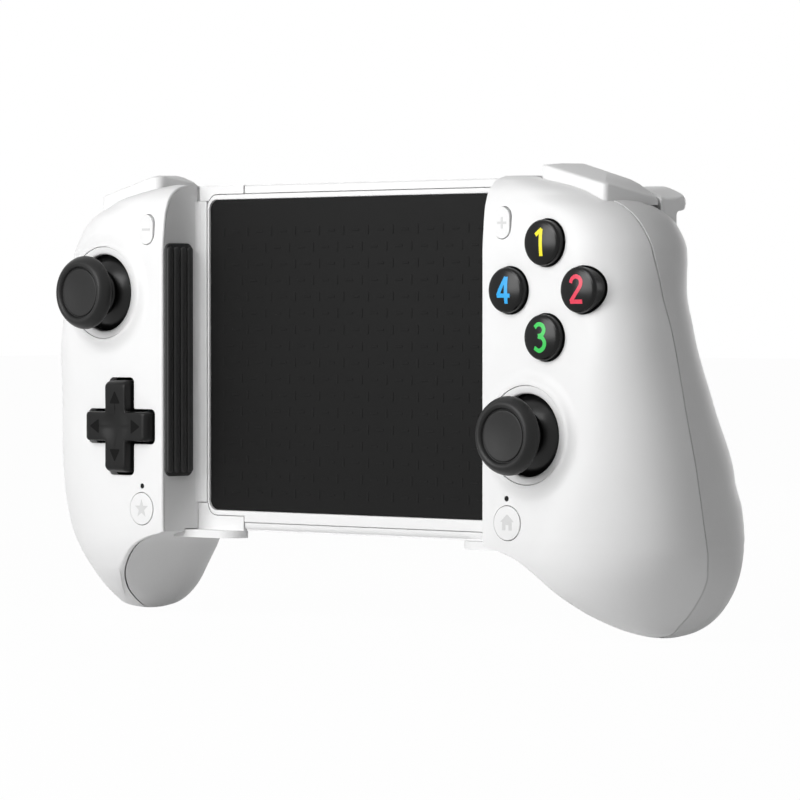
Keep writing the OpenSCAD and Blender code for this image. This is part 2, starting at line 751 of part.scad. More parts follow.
// Stick parts, each round its own axis
carrier_r = 6.6;
yoke_r = 4.8;
stick_pin_r = 0.8;
neck_r = 5;
stem_r = 3.8;
cap_skin = 2.2;
module stick_housing(at) {
    color("lightgray") {
        tube_y(at, stick_pivot - 2.2, board_y, carrier_r + 1.8, carrier_r + 0.4);
        tube_y(at, stick_pivot - 3, stick_pivot - 2.2, carrier_r + 1.8, carrier_r - 0.4);
    }
}
module stick_ring(at) {
    r0 = socket_d / 2;
    r1 = ring_d / 2;
    color(white) turned(at, 0)
        polygon([[r0, ring_proud], [r1, ring_proud], [r1, -shell_wall], [r1 - 0.6, -shell_wall], [r0, -0.6]]);
}
module stick_carrier(at) {
    color("dimgray") difference() {
        tube_y(at, stick_pivot - 2, stick_pivot + 3, carrier_r, carrier_r - 1.2);
        rod_x(at[0] - cut, at[0] + cut, stick_pivot, at[1], stick_pin_r + 0.15);
    }
}
module gimbal_yoke(at, y, r_out, r_in, h, pin_r, reach, cross_r) {
    difference() {
        union() {
            tube_y(at, y - h, y + h, r_out, r_in);
            for (x = [at[0] - reach, at[0] + (r_in + r_out) / 2])
                rod_x(x, x + reach - (r_in + r_out) / 2, y, at[1], pin_r);
        }
        rod_z(at[0], y, at[1] - cut, at[1] + cut, cross_r + 0.15);
    }
}
module stick_yoke(at) {
    color("gray") gimbal_yoke(at, stick_pivot, yoke_r, 3.2, 1.4, stick_pin_r, carrier_r - 0.3, 0.7);
}
module stick_shaft(at) {
    stem_top = stick_pivot + cap_proud - cap_skin;
    cap_low = stick_pivot + cap_proud - cap_h;
    inner = dome_r - 1.1;
    a0 = asin(2 / inner);
    a1 = asin(neck_r / dome_r);
    a2 = 72;
    n = 10;
    color(black) {
        turned(at, stick_pivot) polygon([[0, -1.4], [2, -1.4],
            each [for (k = [0:n]) let (a = a0 + (a2 - a0) * k / n) inner * [sin(a), cos(a)]],
            each [for (k = [0:n]) let (a = a2 + (a1 - a2) * k / n) dome_r * [sin(a), cos(a)]],
            [neck_r, cap_low], [stem_r, cap_low], [stem_r, stem_top], [0, stem_top]]);
        rod_z(at[0], stick_pivot, at[1] - yoke_r + 0.3, at[1] + yoke_r - 0.3, 0.7);
    }
}
module stick_cap(at) {
    r = cap_d / 2;
    top = stick_pivot + cap_proud;
    low = top - cap_h;
    bore = top - cap_skin;
    color(rubber) turned(at, stick_pivot) polygon([[stem_r, low], [r - 1.6, low], [r - 0.5, low + 0.5],
        [r, low + 1.5], [r, top - 1.7], [r - 0.3, top - 0.8], [r - 0.9, top - 0.2], [r - 1.6, top],
        [r - 2.4, top - 0.2], [r - 3, top - 0.6], [r * 0.35, top - 1.1], [0, top - 1.2], [0, bore],
        [stem_r, bore]]);
}
module right_stick_housing() {
    placed() stick_housing(lower);
}
module right_stick_ring() {
    placed() stick_ring(lower);
}
module right_stick_carrier() {
    placed() stick_carrier(lower);
}
module right_stick_yoke() {
    placed() stick_yoke(lower);
}
module right_stick_shaft() {
    placed() stick_shaft(lower);
}
module right_stick_cap() {
    placed() stick_cap(lower);
}
module left_stick_housing() {
    placed_left() stick_housing(upper);
}
module left_stick_ring() {
    placed_left() stick_ring(upper);
}
module left_stick_carrier() {
    placed_left() stick_carrier(upper);
}
module left_stick_yoke() {
    placed_left() stick_yoke(upper);
}
module left_stick_shaft() {
    placed_left() stick_shaft(upper);
}
module left_stick_cap() {
    placed_left() stick_cap(upper);
}

// D-pad on its gimbal
module dpad_bracket() {
    color("lightgray") placed_left() difference() {
        tube_y(lower, dpad_pivot_y - 1.6, board_y, 5.4, 4);
        rod_x(lower[0] - cut, lower[0] + cut, dpad_pivot_y, lower[1], 0.85);
    }
}
module dpad_yoke() {
    color("gray") placed_left() gimbal_yoke(lower, dpad_pivot_y, 3.5, 2.3, 1.2, 0.7, 4.9, 0.6);
}
module dpad_cross() {
    flare = dpad_flare * 2;
    color(black) placed_left() {
        translate([lower[0], 0, lower[1]]) {
            difference() {
                plate_y(-dpad_proud, -dpad_proud / 2) cross(dpad_w, dpad_arm);
                translate([0, -dpad_proud - 21.2, 0]) sphere(r = 22, $fn = 64);
            }
            plate_y(-dpad_proud / 2, 3.4) cross(dpad_w + flare, dpad_arm + flare);
        }
        rod_y(lower, 3.4, 4.4, 10.4);
        rod_y(lower, 4.4, dpad_pivot_y + 1, 1.6);
        rod_z(lower[0], dpad_pivot_y, lower[1] - 3.3, lower[1] + 3.3, 0.6);
    }
}

// Buttons
module face_button(k) {
    r = button_d / 2;
    dome = 14;
    color(black) placed() {
        intersection() {
            rod_y(button_place(k), -button_proud, button_y + flange_t, r);
            translate([button_place(k)[0], dome - button_proud, button_place(k)[1]])
                sphere(r = dome, $fn = 64);
        }
        rod_y(button_place(k), button_y, button_y + flange_t, r + button_gap + guide_t - 0.1);
    }
}
module button_top() {
    face_button(0);
}
module button_right() {
    face_button(1);
}
module button_bottom() {
    face_button(2);
}
module button_left() {
    face_button(3);
}
module stem(at) {
    rod_y(at, shell_wall + 1, board_y - 3, 1.2);
}
module pill_button() {
    color(white) {
        translate([pill[0], 0, pill[1]]) {
            plate_y(-small_proud, shell_wall + 0.3) pill_shape(0);
            plate_y(shell_wall + 0.3, shell_wall + 1.1) pill_shape(0.2);
        }
        stem(pill);
    }
}
module small_button() {
    color(white) {
        rod_y(small, -small_proud, shell_wall + 1.1, small_d / 2);
        stem(small);
    }
}
module plus_button() {
    placed() pill_button();
}
module minus_button() {
    placed_left() pill_button();
}
module home_button() {
    placed() small_button();
}
module star_button() {
    placed_left() small_button();
}

// Shoulder
module bumper() {
    x0 = shoulder_x;
    x1 = shoulder_x + bumper_w;
    top = half_h + bumper_rise;
    low0 = roof_z + 0.3;
    low1 = roof_z + 0.4 - bumper_w * (tan(roof_slope) - tan(bumper_press));
    color(white) {
        intersection() {
            plate_y(bumper_y, bumper_y + bumper_d)
                polygon([[x0, low0], [x0, top - 0.4], [x0 + 0.8, top], [x0 + bumper_w * 0.25, top],
                    [x0 + bumper_w * 0.5, top - 1], [x0 + bumper_w * 0.75, top - 2.6],
                    [x1 - 1, top - 4.5], [x1, top - 5.4], [x1, low1]]);
            translate([0, 0, half_h - 20]) linear_extrude(cut)
                round_rect([x0 - 6, bumper_y], [x1, bumper_y + bumper_d], 3);
        }
        rod_y([x0 - 2.4, half_h - 1.4], bumper_y + 2, bumper_y + bumper_d - 2, 0.8);
        box([x0 - 2.4, bumper_y + 2, half_h - 2], [x0 + 1, bumper_y + bumper_d - 2, half_h - 0.8]);
    }
}
module trigger() {
    x0 = shoulder_x + 0.2;
    x1 = shoulder_x + trigger_w;
    hub_x0 = x0 + 2.6;
    top = half_h;
    front = bumper_y + bumper_d + 0.4;
    rear = body_d - 2.8;
    lip = rear + 4.3;
    color(white) difference() {
        union() {
            intersection() {
                bar_x(x0, x1) polygon([[front, top - 6.4], [front + 3.1, top - 5], [lip - 2.3, top - 3.5],
                    [lip - 1.1, top - 3.2], [lip - 0.2, top - 4], [lip, top - 5.4],
                    [lip - 0.9, top - 7.2], [lip - 2.9, top - 8.2], [rear, top - 9.2], [rear, top - 17],
                    [rear - 2.2, top - 17], [rear - 3, top - 12], [front, top - 11.6]]);
                translate([0, 0, half_h - 30]) linear_extrude(cut) round_rect([x0, 10], [x1, lip], 5);
            }
            bar_x(hub_x0, x1) {
                translate([trigger_y, trigger_z]) circle(hub_r);
                polygon([[trigger_y, trigger_z - hub_r], [front + 0.2, top - 11.6], [front + 0.2, top - 7],
                    [front - 1, top - 7.4], [trigger_y, trigger_z + hub_r]]);
            }
        }
        rod_x(x0 - 1, x1 + 1, trigger_y, trigger_z, pin_d / 2 + 0.15);
    }
}
module trigger_pin() {
    color(steel) rod_x(shoulder_x - 2, shoulder_x + trigger_w + 2, trigger_y, trigger_z, pin_d / 2);
}
module trigger_spring() {
    color(steel) translate([shoulder_x + 0.3, trigger_y, trigger_z]) rotate([0, 90, 0]) difference() {
        cylinder(r = pin_d / 2 + 1, h = 2.2);
        translate([0, 0, -1]) cylinder(r = pin_d / 2 + 0.1, h = 5);
    }
}
module right_bumper() {
    placed() bumper();
}
module left_bumper() {
    placed_left() bumper();
}
module right_trigger() {
    placed() trigger();
}
module left_trigger() {
    placed_left() trigger();
}
module right_trigger_pin() {
    placed() trigger_pin();
}
module left_trigger_pin() {
    placed_left() trigger_pin();
}
module right_trigger_spring() {
    placed() trigger_spring();
}
module left_trigger_spring() {
    placed_left() trigger_spring();
}

right_front_shell();
right_rear_shell();
left_front_shell();
left_rear_shell();
tray_frame();
tray_pad();
tray_rear_cover();
right_ledge();
left_carriage();
slide_tongue();
guide_rails();
pull_springs();
ribbon_cable();
tray_screws();
right_end_pad();
left_end_pad();
right_board();
left_board();
battery();
usb_socket();
right_switches();
left_switches();
right_led_pipe();
left_led_pipe();
right_shell_screws();
left_shell_screws();
face_membrane();
right_stick_housing();
right_stick_ring();
right_stick_carrier();
right_stick_yoke();
right_stick_shaft();
right_stick_cap();
left_stick_housing();
left_stick_ring();
left_stick_carrier();
left_stick_yoke();
left_stick_shaft();
left_stick_cap();
dpad_bracket();
dpad_yoke();
dpad_cross();
button_top();
button_right();
button_bottom();
button_left();
plus_button();
minus_button();
home_button();
star_button();
right_bumper();
left_bumper();
right_trigger();
left_trigger();
right_trigger_pin();
left_trigger_pin();
right_trigger_spring();
left_trigger_spring();
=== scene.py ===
"""Looks of a telescopic mobile game controller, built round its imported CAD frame.

Sizes are in millimetres until a mesh is made. X runs across, Y from the front to the rear and Z up. Depths count
from the front face of the halves, which lies at FACE_Y in the frame. Both halves are drawn on the right and the
left one is mirrored.
"""
import json
import logging
import math
from contextlib import contextmanager
from dataclasses import dataclass
from enum import Enum
from typing import Callable, ClassVar, Iterator, Sequence

import bmesh
import bpy
import numpy as np
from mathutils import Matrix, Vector


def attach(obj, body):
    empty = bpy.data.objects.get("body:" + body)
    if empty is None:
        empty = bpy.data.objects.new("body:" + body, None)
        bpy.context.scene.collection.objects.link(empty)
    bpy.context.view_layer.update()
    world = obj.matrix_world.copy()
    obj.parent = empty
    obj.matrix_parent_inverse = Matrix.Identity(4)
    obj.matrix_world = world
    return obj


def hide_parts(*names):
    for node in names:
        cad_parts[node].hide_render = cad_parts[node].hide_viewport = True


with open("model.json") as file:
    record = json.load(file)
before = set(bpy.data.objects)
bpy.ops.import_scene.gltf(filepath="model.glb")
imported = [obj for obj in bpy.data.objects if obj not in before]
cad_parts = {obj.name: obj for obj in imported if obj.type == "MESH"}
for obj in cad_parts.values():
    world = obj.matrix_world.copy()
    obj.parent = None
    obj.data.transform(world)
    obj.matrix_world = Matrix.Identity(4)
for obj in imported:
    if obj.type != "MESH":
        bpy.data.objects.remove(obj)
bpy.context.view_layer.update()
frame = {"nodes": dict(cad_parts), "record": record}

log = logging.getLogger("controller")

MM = 0.001
FACE_Y = -17.0  # front face of the halves
WALL_X = 51.0  # inner wall of a half
HALF_H = 103.0  # top of a half
BORE = (14.5, -30.0)  # rear and front of a cut through the face
WELD = 0.002 * MM  # points nearer than this become one
SHARPEST = 0.05  # smallest radius of a corner
Array = np.ndarray
Place = tuple[float, float]
Socket = bpy.types.NodeSocket
Tree = bpy.types.NodeTree
Piece = bpy.types.Object


class Side(Enum):
    """The half that a piece belongs to, with the sign of its X."""

    RIGHT = 1
    LEFT = -1

    @property
    def word(self) -> str:
        """The side's name, as the nodes begin."""
        return self.name.lower()

    @property
    def body(self) -> str:
        """The body of this half."""
        return f"{self.word}_half"


class Slot(Enum):
    """Material slots of the record."""

    WHITE = "white_shell"
    PAD = "black_pad"
    CAP = "cap_rubber"
    BLACK = "black_plastic"
    GLOSS = "gloss_black"
    STEEL = "steel"
    BOARD = "board"
    GREY = "grey_plastic"
    BATTERY = "battery_wrap"
    RIBBON = "ribbon"
    MEMBRANE = "membrane"


def linear(code: str) -> tuple[float, float, float, float]:
    """Turns a screen colour into a linear one.

    Args:
        code: six hexadecimal digits.

    Returns:
        Red, green, blue and an alpha of 1.
    """
    values = [int(code[k:k + 2], 16) / 255 for k in (0, 2, 4)]
    return (*[v / 12.92 if v <= 0.04045 else ((v + 0.055) / 1.055) ** 2.4 for v in values], 1.0)


# Finishes
@dataclass(frozen=True)
class Finish:
    """A surface: its colour, its gloss and the grain that its mould or tool leaves.

    Attributes:
        name: name of the material.
        colour: screen colour as six hexadecimal digits.
        rough: mean roughness.
        grain: size of the grain in millimetres.
        depth: height of the grain in millimetres.
        mottle: share by which colour and roughness drift over the surface.
        patch: size of that drift in millimetres.
        metallic: 1 for bare metal.
        specular: level of the plain reflection.
    """

    name: str
    colour: str
    rough: float
    grain: float = 0.35
    depth: float = 0.004
    mottle: float = 0.04
    patch: float = 18.0
    metallic: float = 0.0
    specular: float = 0.5


SHELL_WHITE = Finish("shell_white", "ededed", 0.42, 0.3, 0.003, 0.02, 30.0, specular=0.42)
GRIP_WHITE = Finish("grip_white", "e4e4e4", 0.55, 0.6, 0.02, 0.02, 20.0, specular=0.3)
BUTTON_WHITE = Finish("button_white", "ececec", 0.38, 0.25, 0.002, 0.02, 12.0, specular=0.42)
TRAY_WHITE = Finish("tray_white", "eeeeee", 0.4, 0.3, 0.003, 0.02, 30.0, specular=0.42)
PAD_BLACK = Finish("pad_black", "181818", 0.6, 0.5, 0.012, 0.1, 9.0, specular=0.1)
STRIP_BLACK = Finish("strip_black", "3c3c3c", 0.5, 0.4, 0.01, 0.08, 8.0, specular=0.2)
CAP_RUBBER = Finish("cap_rubber", "1c1c1c", 0.42, 0.28, 0.01, 0.08, 5.0, specular=0.25)
DOME_BLACK = Finish("dome_black", "0a0a0a", 0.3, 0.2, 0.001, 0.05, 6.0, specular=0.3)
DPAD_BLACK = Finish("dpad_black", "0e0e0e", 0.36, 0.25, 0.004, 0.06, 5.0, specular=0.2)
# Painted shade: the arrows are engraved, and this darker, duller colour paints the shade inside their grooves.
ARROW_PAINTED_SHADE = Finish("arrow_painted_shade", "060606", 0.5, 0.25, 0.004, 0.05, 4.0, specular=0.08)
BUTTON_BLACK = Finish("button_black", "030303", 0.22, 0.5, 0.0004, 0.05, 4.0, specular=0.24)
LAMP_BLACK = Finish("lamp_black", "0a0a0a", 0.2, 0.3, 0.0004, 0.04, 3.0, specular=0.2)
MARK_GREY = Finish("mark_grey", "d6d6d6", 0.5, 0.2, 0.002, 0.03, 3.0, specular=0.3)
YELLOW = Finish("numeral_yellow", "f3e62b", 0.3, 0.3, 0.001, 0.03, 3.0, specular=0.3)
RED = Finish("numeral_red", "e7415a", 0.3, 0.3, 0.001, 0.03, 3.0, specular=0.3)
GREEN = Finish("numeral_green", "3fcc5c", 0.3, 0.3, 0.001, 0.03, 3.0, specular=0.3)
BLUE = Finish("numeral_blue", "2fa9ec", 0.3, 0.3, 0.001, 0.03, 3.0, specular=0.3)
STEEL = Finish("steel", "b4b5b8", 0.32, 0.15, 0.002, 0.08, 3.0, metallic=1.0)
BOARD_GREEN = Finish("board_green", "1c5a36", 0.4, 0.6, 0.006, 0.1, 6.0)
MOULD_GREY = Finish("mould_grey", "6c6e70", 0.5, 0.3, 0.006, 0.06, 8.0)
CELL_BLUE = Finish("cell_blue", "3a5a9c", 0.35, 0.5, 0.004, 0.06, 8.0)
RIBBON_AMBER = Finish("ribbon_amber", "b8742c", 0.3, 0.3, 0.002, 0.05, 6.0)
MEMBRANE_GREY = Finish("membrane_grey", "b9bab8", 0.6, 0.3, 0.006, 0.05, 6.0)


def math_node(tree: Tree, operation: str, *given: float | Socket) -> Socket:
    """Adds a Math node to a tree.

    Args:
        tree: the tree.
        operation: what the node works out.
        given: a number or a socket for each of its inputs.

    Returns:
        The node's output.
    """
    node = tree.nodes.new("ShaderNodeMath")
    node.operation = operation
    for socket, value in zip(node.inputs, given):
        if isinstance(value, Socket):
            tree.links.new(value, socket)
        else:
            socket.default_value = value
    return node.outputs[0]


class FinishShop:
    """Makes each finish's material once, from two shared node groups."""

    def __init__(self) -> None:
        """Builds the groups that the materials share."""
        self.grain = self._grain_group()
        self.drift = self._drift_group()
        self.made: dict[str, bpy.types.Material] = {}

    @staticmethod
    def _group(name: str, inputs: Sequence[str], outputs: Sequence[str]) -> Tree:
        """Starts a node group.

        Args:
            name: name of the group.
            inputs: names of its number inputs, after a vector named Place.
            outputs: names of its number outputs.

        Returns:
            The group, with its Group Input and Group Output nodes.
        """
        group = bpy.data.node_groups.new(name, "ShaderNodeTree")
        group.interface.new_socket("Place", in_out="INPUT", socket_type="NodeSocketVector")
        for way, labels in (("INPUT", inputs), ("OUTPUT", outputs)):
            for label in labels:
                group.interface.new_socket(label, in_out=way, socket_type="NodeSocketFloat")
        group.nodes.new("NodeGroupInput").name = "in"
        group.nodes.new("NodeGroupOutput").name = "out"
        return group

    def _grain_group(self) -> Tree:
        """Makes the fine grain of a moulded or tooled surface.

        Returns:
            A group that turns a place and a count of grains per metre into a height from 0 to 1.
        """
        group = self._group("moulded_grain", ["Grains"], ["Height"])
        nodes, links = group.nodes, group.links
        fine = nodes.new("ShaderNodeTexNoise")
        fine.inputs["Detail"].default_value = 2.0
        cells = nodes.new("ShaderNodeTexVoronoi")
        both = nodes.new("ShaderNodeMix")
        both.inputs["Factor"].default_value = 0.4
        for texture in (fine, cells):
            links.new(nodes["in"].outputs["Place"], texture.inputs["Vector"])
            links.new(nodes["in"].outputs["Grains"], texture.inputs["Scale"])
        links.new(fine.outputs["Fac"], both.inputs["A"])
        links.new(cells.outputs["Distance"], both.inputs["B"])
        links.new(both.outputs["Result"], nodes["out"].inputs["Height"])
        return group

    def _drift_group(self) -> Tree:
        """Makes the slow drift of colour and gloss over a surface.

        Returns:
            A group that turns a place, patches per metre and a share into a factor round 1 and a roughness.
        """
        group = self._group("surface_drift", ["Patches", "Share", "Rough"], ["Shade", "Roughness"])
        given, result = group.nodes["in"].outputs, group.nodes["out"].inputs
        noise = group.nodes.new("ShaderNodeTexNoise")
        noise.inputs["Detail"].default_value = 3.0
        group.links.new(given["Place"], noise.inputs["Vector"])
        group.links.new(given["Patches"], noise.inputs["Scale"])
        centred = math_node(group, "SUBTRACT", noise.outputs["Fac"], 0.5)
        shade = math_node(group, "MULTIPLY_ADD", centred, given["Share"], 1.0)
        group.links.new(shade, result["Shade"])
        group.links.new(math_node(group, "MULTIPLY", shade, given["Rough"]), result["Roughness"])
        return group

    @staticmethod
    def _placed(tree: Tree, group: Tree, **values: float) -> bpy.types.Node:
        """Places a group in a material.

        Args:
            tree: node tree of the material.
            group: the group.
            values: its inputs in this material.

        Returns:
            The group's node.
        """
        node = tree.nodes.new("ShaderNodeGroup")
        node.node_tree = group
        for label, value in values.items():
            node.inputs[label].default_value = value
        return node

    def material(self, finish: Finish) -> bpy.types.Material:
        """Makes or finds the material of a finish.

        Args:
            finish: the surface to make.

        Returns:
            The material.
        """
        if finish.name in self.made:
            return self.made[finish.name]
        made = bpy.data.materials.new(finish.name)
        made.use_nodes = True
        nodes, links = made.node_tree.nodes, made.node_tree.links
        shader = nodes["Principled BSDF"]
        shader.inputs["Metallic"].default_value = finish.metallic
        shader.inputs["Specular IOR Level"].default_value = finish.specular
        place = nodes.new("ShaderNodeTexCoord")
        grain = self._placed(made.node_tree, self.grain, Grains=1 / (finish.grain * MM))
        drift = self._placed(made.node_tree, self.drift, Patches=1 / (finish.patch * MM), Share=2 * finish.mottle,
                             Rough=finish.rough)
        for group in (grain, drift):
            links.new(place.outputs["Object"], group.inputs["Place"])
        shade = nodes.new("ShaderNodeVectorMath")
        shade.operation = "SCALE"
        shade.inputs[0].default_value = linear(finish.colour)[:3]
        links.new(drift.outputs["Shade"], shade.inputs["Scale"])
        links.new(shade.outputs["Vector"], shader.inputs["Base Color"])
        links.new(drift.outputs["Roughness"], shader.inputs["Roughness"])
        bump = nodes.new("ShaderNodeBump")
        bump.inputs["Distance"].default_value = finish.depth * MM
        links.new(grain.outputs["Height"], bump.inputs["Height"])
        links.new(bump.outputs["Normal"], shader.inputs["Normal"])
        self.made[finish.name] = made
        return made


# Mesh making
@dataclass
class Form:
    """A mesh in millimetres, before it becomes an object.

    Attributes:
        points: one row of X, Y and Z for each point.
        faces: point numbers of each face.
    """

    points: Array
    faces: list[tuple[int, ...]]

    def mirrored(self) -> "Form":
        """The same form on the other side of the middle."""
        return Form(self.points * np.array([-1.0, 1.0, 1.0]), [tuple(reversed(f)) for f in self.faces])

    def sided(self, side: Side) -> "Form":
        """This form, drawn on the right, on the side that it belongs to."""
        return self if side is Side.RIGHT else self.mirrored()


def together(forms: Sequence[Form]) -> Form:
    """Puts forms into a single mesh.

    Args:
        forms: the forms, in order.

    Returns:
        One form, whose parts aren't welded.
    """
    faces, shift = [], 0
    for form in forms:
        faces += [tuple(i + shift for i in face) for face in form.faces]
        shift += len(form.points)
    return Form(np.vstack([form.points for form in forms]), faces)


def loft(rings: Sequence[Array], caps: bool = True) -> Form:
    """Joins rings of points into a closed skin.

    Args:
        rings: rings of the same number of points, which run the same way round.
        caps: whether the first and last ring are closed.

    Returns:
        The skin, with its normals outwards when the rings run anticlockwise seen from the last one.
    """
    n = len(rings[0])
    faces: list[tuple[int, ...]] = []
    for k in range(len(rings) - 1):
        for i in range(n):
            j = (i + 1) % n
            faces.append((k * n + i, k * n + j, (k + 1) * n + j, (k + 1) * n + i))
    if caps:
        last = (len(rings) - 1) * n
        faces.append(tuple(reversed(range(n))))
        faces.append(tuple(range(last, last + n)))
    return Form(np.vstack(rings), faces)


def turned(at: Place, profile: Sequence[Place], steps: int = 96) -> Form:
    """Turns a profile round an axis along Y.

    Args:
        at: X and Z of the axis.
        profile: radius and height in front of the face, from the rear end to the front end.
        steps: points round the axis.

    Returns:
        The turned skin, closed where the profile starts and ends.
    """
    angle = np.linspace(0, 2 * math.pi, steps, endpoint=False)
    rings = []
    for r, height in profile:
        radius = max(r, 0.002)
        rings.append(np.column_stack([at[0] + radius * np.cos(angle), np.full(steps, -height),
                                      at[1] + radius * np.sin(angle)]))
    return loft(rings)


def smooth_path(points: Sequence[Place], count: int) -> list[Place]:
    """Draws a smooth curve through points.

    Args:
        points: places that the curve passes through.
        count: steps between two neighbours.

    Returns:
        Places along a Catmull-Rom curve.
    """
    given = np.array(points, float)
    ends = np.vstack([2 * given[0] - given[1], given, 2 * given[-1] - given[-2]])
    path: list[Place] = []
    for k in range(1, len(ends) - 2):
        a, b, c, d = ends[k - 1:k + 3]
        for u in np.linspace(0, 1, count, endpoint=False):
            p = 0.5 * (2 * b + (c - a) * u + (2 * a - 5 * b + 4 * c - d) * u ** 2
                       + (3 * b - a - 3 * c + d) * u ** 3)
            path.append((float(p[0]), float(p[1])))
    path.append((float(given[-1][0]), float(given[-1][1])))
    return path


def round_rect(low: Place, high: Place, radius: float, inset: float = 0.0, steps: int = 10) -> Array:
    """Outline of a rectangle with round corners.

    Args:
        low: lower corner.
        high: upper corner.
        radius: radius of the corners.
        inset: how far the outline is drawn in.
        steps: steps round each corner.

    Returns:
        Points that run anticlockwise, first coordinate to the right.
    """
    r = max(radius - inset, SHARPEST)
    x0, y0, x1, y1 = low[0] + inset, low[1] + inset, high[0] - inset, high[1] - inset
    points = []
    for cx, cy, start in ((x0 + r, y0 + r, 180), (x1 - r, y0 + r, 270), (x1 - r, y1 - r, 0), (x0 + r, y1 - r, 90)):
        for k in range(steps + 1):
            a = math.radians(start + 90 * k / steps)
            points.append((cx + r * math.cos(a), cy + r * math.sin(a)))
    return np.array(points)


def rounded(corners: Sequence[Place], radii: Sequence[float], inset: float = 0.0, steps: int = 10) -> Array:
    """Outline of a convex shape with round corners.

    Args:
        corners: its corners, anticlockwise.
        radii: radius of each corner.
        inset: how far the outline is drawn in.
        steps: steps round each corner.

    Returns:
        Points that run anticlockwise.
    """
    given = np.array(corners, float)
    along = np.roll(given, -1, axis=0) - given
    along /= np.linalg.norm(along, axis=1)[:, None]
    inward = np.column_stack([-along[:, 1], along[:, 0]])
    points = []
    for k, radius in enumerate(radii):
        back, ahead = -along[k - 1], along[k]
        half = math.acos(float(np.clip(back @ ahead, -1, 1))) / 2
        r = max(radius - inset, SHARPEST)
        shift = (inward[k - 1] + inward[k]) / (1 + inward[k - 1] @ inward[k])
        middle = given[k] + inset * shift + (back + ahead) / np.linalg.norm(back + ahead) * r / math.sin(half)
        start = math.atan2(*-inward[k - 1][::-1])
        for a in np.linspace(start, start + math.pi - 2 * half, steps + 1):
            points.append(middle + r * np.array([math.cos(a), math.sin(a)]))
    return np.array(points)


def quarter_turns(points: Sequence[Place]) -> list[list[Place]]:
    """The same points turned round the middle by 0, 90, 180 and 270 degrees."""
    return [[(c * x - s * z, s * x + c * z) for x, z in points] for c, s in ((1, 0), (0, 1), (-1, 0), (0, -1))]


def facing(outline: Array, depth: float | Array) -> Array:
    """Stands an outline of X and Z up at a depth behind the face."""
    return np.column_stack([outline[:, 0], np.broadcast_to(depth, len(outline)), outline[:, 1]])


def upright(section: Array, x: float) -> Array:
    """Stands a section of depth and height up at a place across."""
    return np.column_stack([np.full(len(section), x), section])


def lying(plan: Array, z: float | Array) -> Array:
    """Lays a plan of X and depth down at a height."""
    return np.column_stack([plan, np.broadcast_to(z, len(plan))])


def plate(shape: Callable[[float], Array], front: float, rear: float, edge: float, steps: int = 4) -> Form:
    """A plate that faces the front, with its front edge rounded.

    Args:
        shape: gives the outline drawn in by a distance.
        front: depth of its front.
        rear: depth of its rear.
        edge: radius of the front edge.
        steps: steps round the edge.

    Returns:
        The closed plate.
    """
    rings = [facing(shape(0.0), rear)]
    for k in range(steps + 1):
        a = math.pi / 2 * k / steps
        rings.append(facing(shape(edge * (1 - math.cos(a))), front + edge * (1 - math.sin(a))))
    return loft(rings)


def block(low: Sequence[float], high: Sequence[float]) -> Form:
    """A box between two corners, for cutting."""
    (x0, y0, z0), (x1, y1, z1) = low, high
    return loft([lying(np.array([(x0, y0), (x1, y0), (x1, y1), (x0, y1)]), z) for z in (z0, z1)])


def placed(name: str, data: bpy.types.ID) -> Piece:
    """Makes an object of some data and links it to the scene.

    Args:
        name: name of the object.
        data: its mesh, lamp or camera.

    Returns:
        The object.
    """
    made = bpy.data.objects.new(name, data)
    bpy.context.scene.collection.objects.link(made)
    return made


@contextmanager
def editing(mesh: bpy.types.Mesh) -> Iterator[bmesh.types.BMesh]:
    """Opens a mesh for editing, and writes it back.

    Args:
        mesh: the mesh.

    Returns:
        The mesh as a bmesh, for as long as it is open.
    """
    made = bmesh.new()
    made.from_mesh(mesh)
    yield made
    made.to_mesh(mesh)
    made.free()


def shown(name: str, form: Form, smooth: float = 35.0) -> Piece:
    """Makes an object of a form.

    Args:
        name: name of the object.
        form: its mesh, with depths counted from the face.
        smooth: edges sharper than this angle stay sharp.

    Returns:
        The linked object, in metres in the frame.
    """
    mesh = bpy.data.meshes.new(name)
    points = (form.points + np.array([0.0, FACE_Y, 0.0])) * MM
    mesh.from_pydata(points.tolist(), [], form.faces)
    mesh.update()
    with editing(mesh) as made:
        bmesh.ops.recalc_face_normals(made, faces=made.faces)
    piece = placed(name, mesh)
    soften(piece, smooth)
    return piece


def soften(piece: Piece, angle: float) -> None:
    """Shades a piece smooth, but for edges sharper than an angle in degrees."""
    piece.data.shade_smooth()
    piece.data.set_sharp_from_angle(angle=math.radians(angle))


def even_normals(piece: Piece) -> None:
    """Lets the large faces of a piece lead its shading."""
    even = piece.modifiers.new("even_normals", "WEIGHTED_NORMAL")
    even.keep_sharp = True
    even.weight = 100


def carve(piece: Piece, cutter: Form, operation: str = "DIFFERENCE") -> None:
    """Cuts a piece with a form, and keeps the result as its mesh.

    Args:
        piece: the object to cut, with a welded mesh.
        cutter: the form that cuts it.
        operation: DIFFERENCE or INTERSECT.
    """
    tool = shown("cutter", cutter)
    cut = piece.modifiers.new("cut", "BOOLEAN")
    cut.operation = operation
    cut.solver = "MANIFOLD"
    cut.object = tool
    graph = bpy.context.evaluated_depsgraph_get()
    result = bpy.data.meshes.new_from_object(piece.evaluated_get(graph))
    piece.modifiers.clear()
    old, piece.data = piece.data, result
    result.name = piece.name
    bpy.data.meshes.remove(old)
    mesh = tool.data
    bpy.data.objects.remove(tool)
    bpy.data.meshes.remove(mesh)


def settle(piece: Piece, body: str, finish: bpy.types.Material, replaces: str = "") -> None:
    """Dresses a piece and hands it to its body.

    Args:
        piece: the object.
        body: the body that it moves with.
        finish: its material.
        replaces: the node that it stands for, if there is one.
    """
    piece.data.materials.clear()
    piece.data.materials.append(finish)
    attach(piece, body)
    if replaces:
        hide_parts(replaces)
    log.info("%s rides on %s", piece.name, body)


